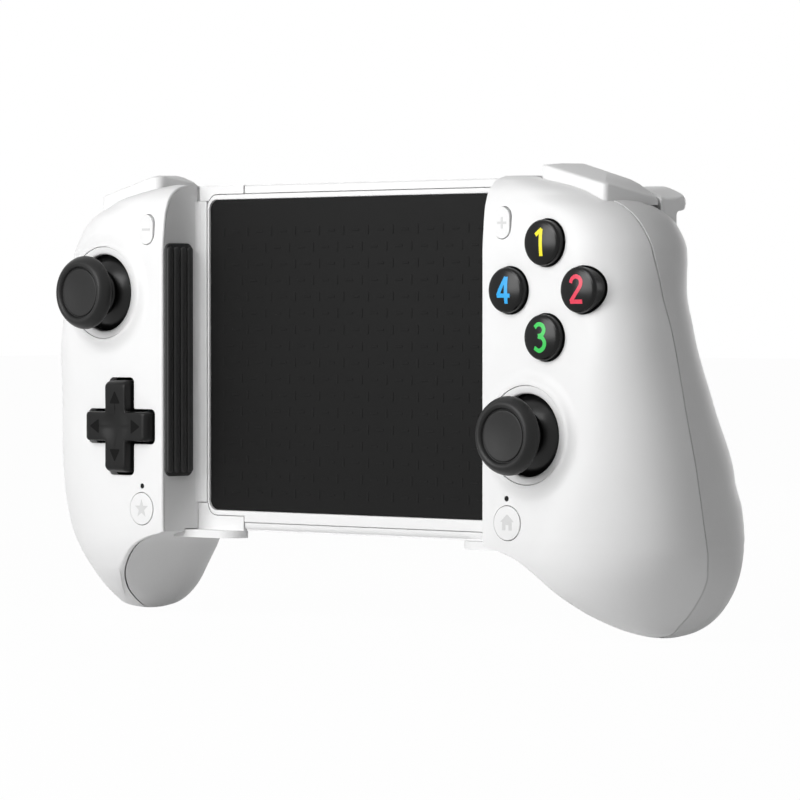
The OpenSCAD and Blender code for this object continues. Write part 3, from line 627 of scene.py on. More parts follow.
# The halves
@dataclass
class Curve:
    """Smooth curves through rows of sizes, which never overshoot.

    Attributes:
        rows: a height and its sizes in each row.
    """

    rows: Array

    def __post_init__(self) -> None:
        """Works out the slopes at the rows."""
        self.heights, self.sizes = self.rows[:, 0], self.rows[:, 1:]
        rise = np.diff(self.sizes, axis=0) / np.diff(self.heights)[:, None]
        a, b = rise[:-1], rise[1:]
        total = np.where(a + b == 0, 1, a + b)
        inner = np.where(a * b <= 0, 0, 2 * a * b / total)
        self.slopes = np.vstack([rise[:1], inner, rise[-1:]])

    def at(self, z: float) -> Array:
        """The sizes at a height.

        Args:
            z: the height.

        Returns:
            One value for each column after the first.
        """
        i = int(np.clip(np.searchsorted(self.heights, z, "right") - 1, 0, len(self.heights) - 2))
        h = self.heights[i + 1] - self.heights[i]
        u = (z - self.heights[i]) / h
        return (self.sizes[i] * (2 * u ** 3 - 3 * u ** 2 + 1) + self.slopes[i] * h * (u ** 3 - 2 * u ** 2 + u)
                + self.sizes[i + 1] * (3 * u ** 2 - 2 * u ** 3) + self.slopes[i + 1] * h * (u ** 3 - u ** 2))


@dataclass
class GripHalf:
    """Shells of a half, lofted through slices of its form.

    Attributes:
        shop: makes the finishes.
        side: which half it is.
        stations: slices of the half: height, inner and outer side from the inner wall, front, rear, and the two
            radii of each corner in the order front inner, front outer, rear outer and rear inner.
        seam_out: depth of the seam at the outer side, at each height.
        seam_edge: depth of the seam behind the front at the inner wall.
        seam_roll: how much faster than the front the seam falls back over the top.
        seam: width of the seam.
        seam_least: share of that width that the seam keeps at the inner wall.
        seam_low: height below which the seam is open all across, and the rise over which it closes.
        wall: thickness of the shells.
        slice_step: height between two slices of the mesh.
        mound_r: radii between which the ground rises to a stick's ring.
        mound_h: height of that rise.
        stick_bore: radius of the stick's hole.
        button_bore: radius of a face button's hole.
        small_bore: radius of the star's or the home button's hole.
        lamp_bore: radius of the indicator's hole.
        lamp_at: place of the indicator.
        screws: places and seats of the screws.
        sink_r: radius of the screws' sinks.
        post_r: radius of the posts round them.
    """

    shop: FinishShop
    side: Side
    stations: tuple[tuple[float, ...], ...] = (
        (-1, 30.3, 30.9, 26.7, 27.3, 0.3, 0.3, 0.3, 0.3, 0.3, 0.3, 0.3, 0.3),
        (-0.95, 29.5, 31.9, 25.5, 28.8, 1.1, 1.6, 1.1, 1.6, 1.1, 1.6, 1.1, 1.6),
        (-0.68, 28, 33.4, 23.2, 31, 2.4, 3.5, 2.6, 3.9, 2.6, 3.9, 2.6, 3.9),
        (0.18, 26, 35.9, 19.3, 34.4, 3.6, 5, 5.5, 8.5, 4.5, 6, 4.5, 6),
        (2.2, 23.7, 38.5, 14, 37.4, 3.2, 5, 12, 18, 5, 7, 6.5, 8),
        (5.4, 20.9, 41.2, 8.4, 39.5, 2.4, 4, 19, 25, 6.5, 7.5, 8.5, 10.5),
        (9.86, 16.9, 44, 3.7, 41, 1.8, 2.6, 25.5, 28, 9, 8.5, 12.6, 14.6),
        (14.15, 12.6, 45.7, 1.45, 41.8, 1.4, 2, 28, 26.5, 10, 10, 16, 19),
        (16.63, 9.2, 46.3, 0.65, 42.3, 1.2, 1.6, 29.3, 24.8, 10.3, 11.3, 20.2, 23.5),
        (18.07, 5.7, 46.5, 0.37, 42.6, 1, 1.2, 29.7, 23.6, 10, 12.5, 25, 28),
        (18.9, 3, 46.6, 0.27, 42.7, 0.8, 0.9, 29.7, 23, 9.9, 12.9, 26.7, 29),
        (19.6, 0, 46.6, 0.2, 42.9, 0.5, 0.5, 29.6, 22.6, 10.2, 13.2, 28, 30),
        (21.5, 0, 46.7, 0.05, 43.3, 0.5, 0.5, 29, 21.8, 10.7, 13.7, 28, 30),
        (28, 0, 46.8, 0, 43.7, 0.5, 0.5, 25.6, 20, 12.4, 16.4, 26, 28),
        (35, 0, 46.7, 0, 43.2, 0.5, 0.5, 22.2, 19.8, 17, 18, 25, 26),
        (51.5, 0, 45, 0, 36.7, 0.5, 0.5, 18, 17.2, 16, 16, 22, 20),
        (68, 0, 42.8, 0, 31, 0.5, 0.5, 13, 14.7, 14, 14, 14, 12),
        (76.5, 0, 41.1, 0, 30.5, 0.5, 0.5, 13.2, 15, 14, 13.5, 14, 12),
        (85.7, 0, 40.6, 0, 31, 0.5, 0.5, 16, 18, 14, 13, 14, 12),
        (92, 0, 37.8, 0.4, 30, 0.5, 0.5, 16.9, 17.4, 14, 12, 13, 11),
        (95.5, 0, 34, 0.8, 27.5, 0.5, 0.5, 17, 16, 14, 11, 12, 9),
        (98, 0, 28.6, 1.5, 25.5, 0.5, 0.5, 17, 14, 13, 10, 11, 8),
        (99.6, 0, 24.4, 2.2, 24.5, 0.5, 0.5, 15, 12, 12, 9, 10, 7),
        (102, 0, 13.5, 4.8, 22.5, 0.5, 0.5, 10, 8, 6, 7, 6, 5),
        (103, 0, 6.5, 7.9, 20, 0.5, 0.5, 4.5, 4, 3.5, 4, 2, 3))
    seam_out: tuple[Place, ...] = (
        (-2, 22.5), (0.7, 24.2), (2.5, 25.0), (5, 25.7), (8.6, 25.5), (12, 24.8), (16, 23.1), (20.5, 21.7), (26, 20.25),
        (35, 18.5), (50, 16.2), (65, 14.4), (85, 11.8), (95.5, 10.6), (99.6, 9.6), (103, 9.7))
    seam_edge: float = 0.62
    seam_roll: float = 1.15
    seam: float = 0.44
    seam_least: float = 0.3
    seam_low: Place = (16.0, 3.0)
    wall: float = 2.2
    slice_step: float = 0.45
    mound_r: Place = (12.1, 15.0)
    mound_h: float = 1.0
    stick_bore: float = 11.2
    button_bore: float = 5.45
    small_bore: float = 4.03
    lamp_bore: float = 0.65
    lamp_at: Place = (WALL_X + 6.8, 30.5)
    screws: tuple[tuple[float, float, float], ...] = ((7.5, 65, 26.5), (34, 58, 29.5), (25, 24, 39))
    sink_r: float = 2.6
    post_r: float = 3.7

    def __post_init__(self) -> None:
        """Prepares the smooth curves through the stations and along the seam."""
        self.form = Curve(np.array(self.stations, float))
        self.seam_rear = Curve(np.array(self.seam_out, float))
        self.stick = Thumbstick.place(self.side)
        self.reach = 0.6 if self.side is Side.RIGHT else 0.0

    def ring(self, z: float, inset: float, corners: Sequence[int], sides: Sequence[int]) -> Array:
        """Outline of the form at a height.

        Args:
            z: the height.
            inset: how far it is drawn in.
            corners: steps round each corner.
            sides: steps along the front, outer, rear and inner side.

        Returns:
            One row of X, depth and height for each point.
        """
        s = self.form.at(z)
        x0, x1 = WALL_X + s[0] - self.reach + inset, WALL_X + s[1] - inset
        y0, y1 = s[2] + inset, s[3] - inset
        r = np.maximum(s[4:].reshape(4, 2) - inset, 0.4)
        middles = ((x0 + r[0, 0], y0 + r[0, 1]), (x1 - r[1, 0], y0 + r[1, 1]), (x1 - r[2, 0], y1 - r[2, 1]),
                   (x0 + r[3, 0], y1 - r[3, 1]))
        arcs = []
        for k, middle in enumerate(middles):
            a = np.radians(180 + 90 * k + 90 * np.arange(corners[k] + 1) / corners[k])
            arcs.append(np.column_stack([middle[0] + r[k, 0] * np.cos(a), middle[1] + r[k, 1] * np.sin(a)]))
        points = []
        for k in range(4):
            points.append(arcs[k])
            share = (np.arange(1, sides[k]) / sides[k])[:, None]
            points.append(arcs[k][-1] * (1 - share) + arcs[(k + 1) % 4][0] * share)
        return lying(np.vstack(points), z)

    def outer(self) -> Form:
        """Lofts the outer skin.

        Returns:
            The skin, risen round the stick.
        """
        low, top = self.form.heights[[0, -1]]
        heights = np.unique(np.concatenate([np.arange(low, top, self.slice_step), low + np.linspace(0, 2, 16) ** 2,
                                            np.arange(98, top, 0.2), [top]]).round(4))
        rings = [self.ring(z, 0.0, (6, 56, 24, 26), (96, 14, 18, 24)) for z in heights]
        for ring in rings:
            away = np.hypot(ring[:, 0] - self.stick[0], ring[:, 2] - self.stick[1])
            t = np.clip((away - self.mound_r[0]) / (self.mound_r[1] - self.mound_r[0]), 0, 1)
            share = np.where(ring[:, 1] < 8, (1 - t) ** 2, 0)
            ring[:, 1] += share * (-self.mound_h - ring[:, 1])
        return loft(rings)

    def hollow(self) -> Form:
        """The hollow inside the shells."""
        return loft([self.ring(z, self.wall, (2, 8, 6, 6), (2, 2, 2, 2)) for z in np.arange(11, 94, 2.0)])

    def seam_front(self, gap: float) -> Form:
        """Lofts everything in front of the seam.

        Args:
            gap: how far the seam is moved forward.

        Returns:
            A form to cut the outer skin with.
        """
        x = np.linspace(WALL_X + 60, WALL_X - 2, 32)
        ahead = -60.0
        shut, rise = self.seam_low
        rings = []
        for z in np.arange(-2.0, 109.5, 0.5):
            height = float(np.clip(z, -0.7, HALF_H))
            inner, outer, depth = self.form.at(height)[:3]
            near = self.seam_edge + depth * (self.seam_roll if z > HALF_H / 2 else 1.0)
            share = (x - WALL_X - inner) / (outer - inner)
            width = np.maximum(self.seam_least + 3.5 * share, (shut + rise - z) / rise)
            y = near - gap * np.clip(width, self.seam_least, 1) + share * (self.seam_rear.at(height)[0] - near)
            rings.append(lying(np.column_stack([[x[-1], x[0], *x], [ahead, ahead, *y]]), z))
        return loft(rings)

    @staticmethod
    def hole(at: Place, radius: float, ends: Place = BORE, steps: int = 96) -> Form:
        """A round hole from a rear end to a front end, for cutting."""
        return turned(at, [(radius, -ends[0]), (radius, -ends[1])], steps)

    def control_holes(self) -> list[Form]:
        """Makes the holes of the controls on this half.

        Returns:
            Forms to cut the shells with.
        """
        outlines = [SmallButtons.pill_outline(SmallButtons.pill_at, -SmallButtons.room)]
        round_holes = [(SmallButtons.small_at, self.small_bore), (self.stick, self.stick_bore)]
        if self.side is Side.RIGHT:
            round_holes += [(FaceButtons.place(k), self.button_bore) for k in range(4)]
        else:
            outlines.append(DPad.outline(-DPad.room))
        return [*(loft([facing(outline, y) for y in BORE]) for outline in outlines),
                self.hole(self.lamp_at, self.lamp_bore, steps=32), *(self.hole(*row) for row in round_holes)]

    def shoulder_room(self) -> list[Form]:
        """Makes room for the bumper and the trigger.

        Returns:
            A pocket for the bumper, two for the trigger, and a slot for the bumper's tab.
        """
        above = 160.0
        plan = Shoulder.plan(-Shoulder.room)
        floor = 99.3 - 0.2586 * (plan[:, 0] - 60)
        return [loft([lying(plan, z) for z in (floor, above)]), block((60.1, 17.2, 83.5), (83.7, 28.6, above)),
                block((60.1, 17.2, 91.3), (83.7, 60, above)), block((56.7, 9.6, 100.5), (63.9, 22.0, 102.7))]

    def shell(self, name: str, form: Form) -> Piece:
        """Starts a shell, drawn on the right."""
        return shown(f"{self.side.word}_{name}", form)

    def finish_shell(self, piece: Piece, node: str, finish: Finish) -> None:
        """Mirrors a shell if it is the left one, cleans it and hands it over.

        Args:
            piece: the shell, on the right.
            node: the node that it stands for, after the side's word.
            finish: its surface.
        """
        with editing(piece.data) as made:
            bmesh.ops.remove_doubles(made, verts=made.verts, dist=WELD)
            bmesh.ops.dissolve_degenerate(made, edges=made.edges, dist=WELD)
            if self.side is Side.LEFT:
                bmesh.ops.scale(made, vec=(-1, 1, 1), verts=made.verts)
                bmesh.ops.reverse_faces(made, faces=made.faces)
        soften(piece, 30)
        even_normals(piece)
        settle(piece, self.side.body, self.shop.material(finish), f"{self.side.word}_{node}")

    def core(self, hollow: Form) -> Form:
        """Leaves posts for the screws in the hollow.

        Args:
            hollow: the hollow inside the shells.

        Returns:
            What is cut out of the rear shell.
        """
        core = self.shell("core", hollow)
        for x, z, seat in self.screws:
            carve(core, self.hole((WALL_X + x, z), self.post_r, (70, seat - self.wall), 48))
        points = np.array([v.co for v in core.data.vertices]) / MM - np.array([0.0, FACE_Y, 0.0])
        form = Form(points, [tuple(p.vertices) for p in core.data.polygons])
        bpy.data.objects.remove(core)
        return form

    def build(self) -> None:
        """Builds the front shell and the rear shell."""
        outer, hollow = self.outer(), self.hollow()
        shared = [*self.control_holes(), *self.shoulder_room()]
        front = self.shell("front_cover", outer)
        carve(front, self.seam_front(self.seam / 2), "INTERSECT")
        for form in [hollow, *shared]:
            carve(front, form)
        self.finish_shell(front, "front_shell", SHELL_WHITE)
        core = self.core(hollow)
        rear = self.shell("rear_cover", outer)
        carve(rear, self.seam_front(-self.seam / 2))
        cuts = [self.hole((WALL_X + x, z), self.sink_r, (70, seat), 48) for x, z, seat in self.screws]
        # Room for the tray, for its ledge and for the stick's mound
        cuts += [block((-9, 12.2, 18), (55.0, 22.2, 163)), block((-9, 7.6, 18), (55.0, 22.0, 20.2)),
                 self.hole(self.stick, 12.3, (BORE[0], 0.9))]
        if self.side is Side.RIGHT:
            # Opening of the charging socket
            cuts.append(loft([lying(round_rect((56.2, 15.8), (65.8, 19.6), 1.8), z) for z in (0, 25.0)]))
        for form in [core, *shared, *cuts]:
            carve(rear, form)
        self.finish_shell(rear, "rear_shell", GRIP_WHITE)


# Controls
@dataclass
class Thumbstick:
    """A stick: its rubber cap, its neck with the dome below, and the ring of its socket.

    Attributes:
        shop: makes the finishes.
        side: the half that it is on.
        pivot: depth of its pivot.
        proud: height of the cap's rim in front of the face.
        cap_r: radius of the cap.
        dome_r: radius of the dome round the pivot.
    """

    shop: FinishShop
    side: Side
    pivot: float = 9.0
    proud: float = 9.5
    cap_r: float = 8.85
    dome_r: float = 11.9

    @staticmethod
    def place(side: Side) -> Place:
        """Place of the axis of a side's stick."""
        return (64.2, 44.8) if side is Side.RIGHT else (70.3, 77.1)

    @property
    def at(self) -> Place:
        """Place of the stick's axis."""
        return self.place(self.side)

    def cap(self) -> Form:
        """Turns the rubber cap.

        Returns:
            A flared side, a rounded rim and a dished top.
        """
        top, r = self.proud, self.cap_r
        side = smooth_path([(5.2, top - 4.1), (r - 1.0, top - 3.6), (r - 0.2, top - 3.15), (r, top - 2.65),
                            (r - 0.1, top - 2.0), (r - 0.4, top - 1.3), (r - 0.85, top - 0.6), (r - 1.35, top - 0.14),
                            (r - 1.85, top), (r - 2.3, top - 0.1), (r - 2.6, top - 0.34), (r - 2.76, top - 0.66),
                            (r - 2.86, top - 0.86)], 5)
        dish = smooth_path([(r - 2.98, top - 0.88), (r - 3.14, top - 0.7), (r - 3.4, top - 0.64), (4.4, top - 0.72),
                            (2.2, top - 0.88), (0.0, top - 0.94)], 5)
        return turned(self.at, [(3.8, top - 3.9), (4.4, top - 4.2), *side, *dish], 128)

    def neck(self) -> Form:
        """Turns the dome and the neck.

        Returns:
            A hollow dome, and the neck between it and the cap.
        """
        inner = self.dome_r - 1.1
        low = self.proud - 4.2
        first, last = math.asin(5 / self.dome_r), math.radians(72)
        under = [(inner * math.sin(a), inner * math.cos(a) - self.pivot)
                 for a in np.linspace(math.asin(2 / inner), last, 20)]
        over = [(self.dome_r * math.sin(a), self.dome_r * math.cos(a) - self.pivot)
                for a in np.linspace(last, first + 0.06, 24)]
        neck = smooth_path([over[-1], (4.75, over[-1][1] + 0.5), (4.55, low - 1.0), (4.5, low)], 4)
        return turned(self.at, [(2.0, -self.pivot - 1.4), *under, *over, *neck, (3.8, low), (3.8, self.proud - 2.2)],
                      96)

    def ring(self) -> Form:
        """The ring that lines the socket."""
        top = 0.8
        return turned_ring(self.at, [(10.5, -2.2), (11.08, -2.2), (11.1, top - 0.15), (10.98, top),
                                     (9.75, top - 0.02), (9.45, top - 0.16), (9.3, top - 0.45), (9.3, -0.6)])

    def build(self) -> None:
        """Builds the stick and its ring."""
        word = self.side.word
        pieces = [(f"{word}_thumb_cap", self.cap(), f"{word}_stick", Slot.CAP, CAP_RUBBER, f"{word}_stick_cap"),
                  (f"{word}_thumb_neck", self.neck(), f"{word}_stick", Slot.BLACK, DOME_BLACK,
                   f"{word}_stick_shaft"),
                  (f"{word}_socket_ring", self.ring(), self.side.body, Slot.WHITE, SHELL_WHITE,
                   f"{word}_stick_ring")]
        for name, form, body, slot, finish, node in pieces:
            settle(shown(name, form.sided(self.side), 40), body, self.shop.material(finish), node)


def turned_ring(at: Place, profile: Sequence[Place], steps: int = 128) -> Form:
    """Turns a closed profile, which never meets the axis, round an axis along Y.

    Args:
        at: X and Z of the axis.
        profile: radius and height in front of the face, all the way round the section.
        steps: points round the axis.

    Returns:
        The ring.
    """
    n = len(profile)
    points, faces = [], []
    for k in range(steps):
        a = 2 * math.pi * k / steps
        points += [(at[0] + r * math.cos(a), -h, at[1] + r * math.sin(a)) for r, h in profile]
        for i in range(n):
            j, after = (i + 1) % n, (k + 1) % steps
            faces.append((k * n + i, k * n + j, after * n + j, after * n + i))
    return Form(np.array(points), faces)


@dataclass
class DPad:
    """The D-pad: a cross with sloping ends, a dished middle and four engraved arrows, whose grooves are painted as
    darker shade.

    Attributes:
        shop: makes the finishes.
        proud: height of its face.
        edge: radius of the face's edge.
        arrow: corners of the arrow on the right arm, from the middle.
        at: place of its middle.
        across: width over two arms.
        taller: how much further the upper and lower arm reach.
        arm: width of an arm.
        room: gap round it in the shell.
        bevel: how far the arms' ends slope in.
    """

    shop: FinishShop
    proud: float = 2.4
    edge: float = 0.35
    arrow: tuple[Place, ...] = ((5.5, -1.8), (8.6, 0.0), (5.5, 1.8))

    at: ClassVar[Place] = (64.8, 44.8)
    across: ClassVar[float] = 21.2
    taller: ClassVar[float] = 0.45
    arm: ClassVar[float] = 6.9
    room: ClassVar[float] = 0.78
    bevel: ClassVar[float] = 1.1

    @staticmethod
    def outline(inset: float, short: float = 0.0, corner: float = 0.9) -> Array:
        """Outline of the cross with round outer corners.

        Args:
            inset: how far it is drawn in, or out where negative.
            short: how much the arms are shortened.
            corner: radius of the outer corners.

        Returns:
            Points of X and Z, anticlockwise.
        """
        far, near = DPad.across / 2 - inset - short, DPad.arm / 2 - inset
        r = max(corner - 0.5 * inset, 0.2)
        out, bend = far - r, near + 0.25
        arc = np.radians(np.linspace(0, 90, 6))
        quarter = [(out + r * math.sin(a), -near + r - r * math.cos(a)) for a in arc]
        quarter += [(out + r * math.cos(a), near - r + r * math.sin(a)) for a in arc]
        quarter += [(out + (bend - out) * k / 8, near) for k in range(1, 9)]
        quarter += [(near, bend + (out - bend) * k / 8) for k in range(8)]
        points = np.vstack(quarter_turns(quarter))
        points[:, 1] += DPad.taller * np.sign(points[:, 1]) * np.clip((np.abs(points[:, 1]) - near) / 4, 0, 1)
        return points + np.array(DPad.at)

    def dish(self, x: Array, z: Array) -> Array:
        """Depth of the dish below the flat face, at places on the cross."""
        away = np.hypot(x - self.at[0], z - self.at[1])
        return 0.65 * np.clip(1 - (away / 4.8) ** 2, 0, 1) ** 1.3 - 0.012 * np.maximum(away - 4.8, 0)

    def cross(self) -> Form:
        """Lofts the cross.

        Returns:
            The cross, with sloping ends, a rounded edge and the dish.
        """
        sides = ((-0.12, 3.4, 0.0), (-0.12, 0.0, 0.0), (-0.1, -1.2, 0.12), (-0.05, -1.8, 0.36))
        rings = [facing(self.outline(inset, short), depth) for inset, depth, short in sides]
        for k, short in enumerate((0.55, 0.72, 0.9, self.bevel)):
            a = math.pi / 2 * k / 3
            outline = self.outline(self.edge * (1 - math.cos(a)), short)
            rings.append(facing(outline, -self.proud + self.edge * (1 - math.sin(a))))
        for inset in (0.9, 1.5, 2.1, 2.7, 3.2):
            rings.append(facing(self.outline(inset, self.bevel), -self.proud))
        for ring in rings[len(sides):]:
            ring[:, 1] += self.dish(ring[:, 0], ring[:, 2]) * np.clip((2.6 - ring[:, 1]) / 5, 0, 1)
        return loft(rings)

    def arrows(self) -> Form:
        """Makes the arrows inlaid in the arms, in a darker, duller colour that paints the shade inside their engraved
        grooves.

        Returns:
            Four triangles that point outwards, coloured as painted shade.
        """
        made = []
        for turned_by in quarter_turns(rounded(self.arrow, (0.2, 0.2, 0.2), 0.0, 3)):
            places = np.array(turned_by) + np.array(self.at)
            front = -self.proud + self.dish(places[:, 0], places[:, 1])
            made.append(loft([facing(places, front + 0.3), facing(places, front - 0.02)]))
        return together(made)

    def build(self) -> None:
        """Builds the cross and its arrows, whose engraving is painted as darker shade."""
        piece = shown("direction_cross", self.cross().mirrored(), 40)
        settle(piece, "dpad_cross", self.shop.material(DPAD_BLACK), "dpad_cross")
        # The arrows get a darker, duller finish as painted shade of their engraved grooves.
        settle(shown("direction_arrows", self.arrows().mirrored(), 30), "dpad_cross",
               self.shop.material(ARROW_PAINTED_SHADE))


@dataclass
class FaceButtons:
    """The four round buttons, with a numeral on each.

    Attributes:
        shop: makes the finishes.
        radius: radius of a button.
        proud: height of its middle.
        stroke: half the width of a numeral's strokes.
        inlay: how far a numeral stands above the dome, and how far it reaches below.
        centre: place between the four buttons.
        pitch: distance of the buttons from it.
    """

    shop: FinishShop
    radius: float = 5.1
    proud: float = 2.5
    stroke: float = 0.47
    inlay: Place = (0.03, -0.3)

    centre: ClassVar[Place] = (69.4, 77.1)
    pitch: ClassVar[float] = 10.5

    @staticmethod
    def place(k: int) -> Place:
        """Place of button k: 0 at the top, then clockwise."""
        a = math.radians(90 * k)
        return (FaceButtons.centre[0] + FaceButtons.pitch * math.sin(a),
                FaceButtons.centre[1] + FaceButtons.pitch * math.cos(a))

    def height(self, away: float | Array) -> float | Array:
        """Height of the dome at a distance from its middle."""
        return self.proud - 0.5 * (np.asarray(away) / 4.5) ** 2

    def cap(self, k: int) -> Form:
        """One button, with a domed top and a rounded edge."""
        r = self.radius
        edge = smooth_path([(r, 0.2), (r, 1.35), (r - 0.14, 1.66), (4.78, 1.87), (4.56, 1.97)], 4)
        dome = [(d, float(self.height(d))) for d in np.linspace(4.4, 0.0, 22)]
        return turned(self.place(k), [(6.3, -8.6), (6.3, -7.6), (r, -7.6), *edge, *dome], 96)

    def numeral(self, k: int) -> Form:
        """The numeral inlaid in button k.

        Args:
            k: number of the button, from 0.

        Returns:
            Ribbons that follow the dome.
        """
        at = self.place(k)
        up, down = self.inlay
        made = []
        for stroke in NUMERALS[k]:
            path = np.array(smooth_path(stroke, 6) if len(stroke) > 3 else dense(stroke, 8))
            along = np.gradient(path, axis=0)
            along /= np.linalg.norm(along, axis=1)[:, None]
            across = np.column_stack([-along[:, 1], along[:, 0]]) * self.stroke
            rings = []
            for p, w in zip(path, across):
                corners = []
                for share, lift in ((-1, up), (0, up), (1, up), (1, down), (-1, down)):
                    q = p + share * w
                    corners.append((at[0] + q[0], -(float(self.height(math.hypot(*q))) + lift), at[1] + q[1]))
                rings.append(np.array(corners))
            made.append(loft(rings))
        return together(made)

    def build(self) -> None:
        """Builds the buttons and their numerals."""
        for k, (name, ink) in enumerate((("top", YELLOW), ("right", RED), ("bottom", GREEN), ("left", BLUE))):
            settle(shown(f"{name}_button_cap", self.cap(k), 50), f"button_{name}",
                   self.shop.material(BUTTON_BLACK), f"button_{name}")
            settle(shown(f"{name}_button_numeral", self.numeral(k), 50), f"button_{name}",
                   self.shop.material(ink))


def dense(points: Sequence[Place], count: int) -> list[Place]:
    """Adds points along the straight pieces of a path.

    Args:
        points: ends of the straight pieces.
        count: steps along each.

    Returns:
        The path.
    """
    path: list[Place] = []
    for (x0, z0), (x1, z1) in zip(points, points[1:]):
        path += [(x0 + (x1 - x0) * k / count, z0 + (z1 - z0) * k / count) for k in range(count)]
    return path + [points[-1]]


NUMERALS: tuple[tuple[tuple[Place, ...], ...], ...] = (
    (((0.35, -3.0), (0.35, 3.0)), ((-1.15, 1.7), (0.55, 3.0))),
    (((-1.5, 1.5), (-1.2, 2.4), (-0.2, 2.95), (1.0, 2.5), (1.4, 1.4), (0.8, 0.2), (-0.6, -1.5), (-1.55, -2.6)),
     ((-1.75, -2.6), (1.7, -2.6))),
    (((-1.4, 2.2), (-0.5, 2.9), (0.7, 2.7), (1.3, 1.7), (0.8, 0.6), (-0.3, 0.25)),
     ((-0.3, 0.25), (0.9, -0.1), (1.5, -1.2), (1.0, -2.4), (-0.2, -2.95), (-1.5, -2.3))),
    (((0.7, -3.0), (0.7, 3.0)), ((0.6, 2.9), (-1.7, -1.2)), ((-1.95, -1.2), (1.8, -1.2))))


@dataclass
class SmallButtons:
    """Plus, minus, star and home buttons, with a faint mark on each.

    Attributes:
        shop: makes the finishes.
        proud: how far they stand proud.
        edge: radius of their edges.
        aside: how far they lie to the left in their holes.
        radius: radius of the star and home buttons.
        rear: depth of the buttons' rear.
        pill_at: place of a plus or minus button.
        pill_half: half its width and half its height.
        small_at: place of a star or home button.
        room: gap round a plus or minus button.
    """

    shop: FinishShop
    proud: float = 0.05
    edge: float = 0.12
    aside: float = 0.1
    radius: float = 3.85
    rear: float = 3.3

    pill_at: ClassVar[Place] = (56.4, 92.2)
    pill_half: ClassVar[Place] = (2.3, 3.55)
    small_at: ClassVar[Place] = (58.0, 25.0)
    room: ClassVar[float] = 0.17

    @staticmethod
    def pill_outline(at: Place, inset: float) -> Array:
        """Outline of a plus or minus button, drawn in by inset."""
        (x, z), (w, h) = at, SmallButtons.pill_half
        return round_rect((x - w, z - h), (x + w, z + h), w, inset, 16)

    def pill(self) -> Form:
        """A plus or minus button."""
        return plate(lambda inset: self.pill_outline(self.pill_at, inset), -self.proud, self.rear, self.edge)

    def round_button(self) -> Form:
        """Turns a star or home button.

        Returns:
            A disc with a rounded edge and a slight dome.
        """
        low, r = self.proud - self.edge, self.radius
        edge = [(r - self.edge * (1 - math.cos(a)), low + self.edge * math.sin(a))
                for a in np.linspace(0, math.pi / 2, 5)]
        return turned(self.small_at, [(r, -self.rear), *edge, (2.0, self.proud + 0.03), (0.0, self.proud + 0.04)])

    def mark(self, outline: Sequence[Place], at: Place) -> Form:
        """A thin inlay on a button."""
        points = np.array(outline) + np.array(at)
        return loft([facing(points, -self.proud + 0.2), facing(points, -self.proud - 0.05)])

    @staticmethod
    def bar(width: float, height: float) -> list[Place]:
        """A small rectangle round the middle."""
        return [(-width / 2, -height / 2), (width / 2, -height / 2), (width / 2, height / 2), (-width / 2, height / 2)]

    @staticmethod
    def plus(reach: float, half: float) -> list[Place]:
        """A small cross round the middle."""
        return sum(quarter_turns([(reach, -half), (reach, half), (half, half)]), [])

    @staticmethod
    def star() -> list[Place]:
        """A plain five-pointed star."""
        corners = [(math.radians(90 + 36 * k), 0.95 if k % 2 else 2.3) for k in range(10)]
        return [(math.cos(a) * r, math.sin(a) * r) for a, r in corners]

    @staticmethod
    def house() -> list[Place]:
        """A plain house with a doorway."""
        return [(-1.4, -1.6), (-0.45, -1.6), (-0.45, -0.4), (0.45, -0.4), (0.45, -1.6), (1.4, -1.6), (1.4, 0.3),
                (2.0, 0.3), (0.0, 2.0), (-2.0, 0.3), (-1.4, 0.3)]

    def build(self) -> None:
        """Builds the four buttons and their marks."""
        white, grey = self.shop.material(BUTTON_WHITE), self.shop.material(MARK_GREY)
        marks = {"plus": self.mark(self.plus(1.3, 0.275), self.pill_at),
                 "minus": self.mark(self.bar(2.6, 0.55), self.pill_at),
                 "home": self.mark(self.house(), self.small_at), "star": self.mark(self.star(), self.small_at)}
        for name, mark in marks.items():
            side = Side.RIGHT if name in ("plus", "home") else Side.LEFT
            form = (self.pill() if name in ("plus", "minus") else self.round_button()).sided(side)
            form.points[:, 0] -= self.aside
            piece = shown(f"{name}_button_cap", form, 50)
            even_normals(piece)
            settle(piece, f"{name}_button", white, f"{name}_button")
            settle(shown(f"{name}_button_mark", mark.sided(side), 30), f"{name}_button", grey)


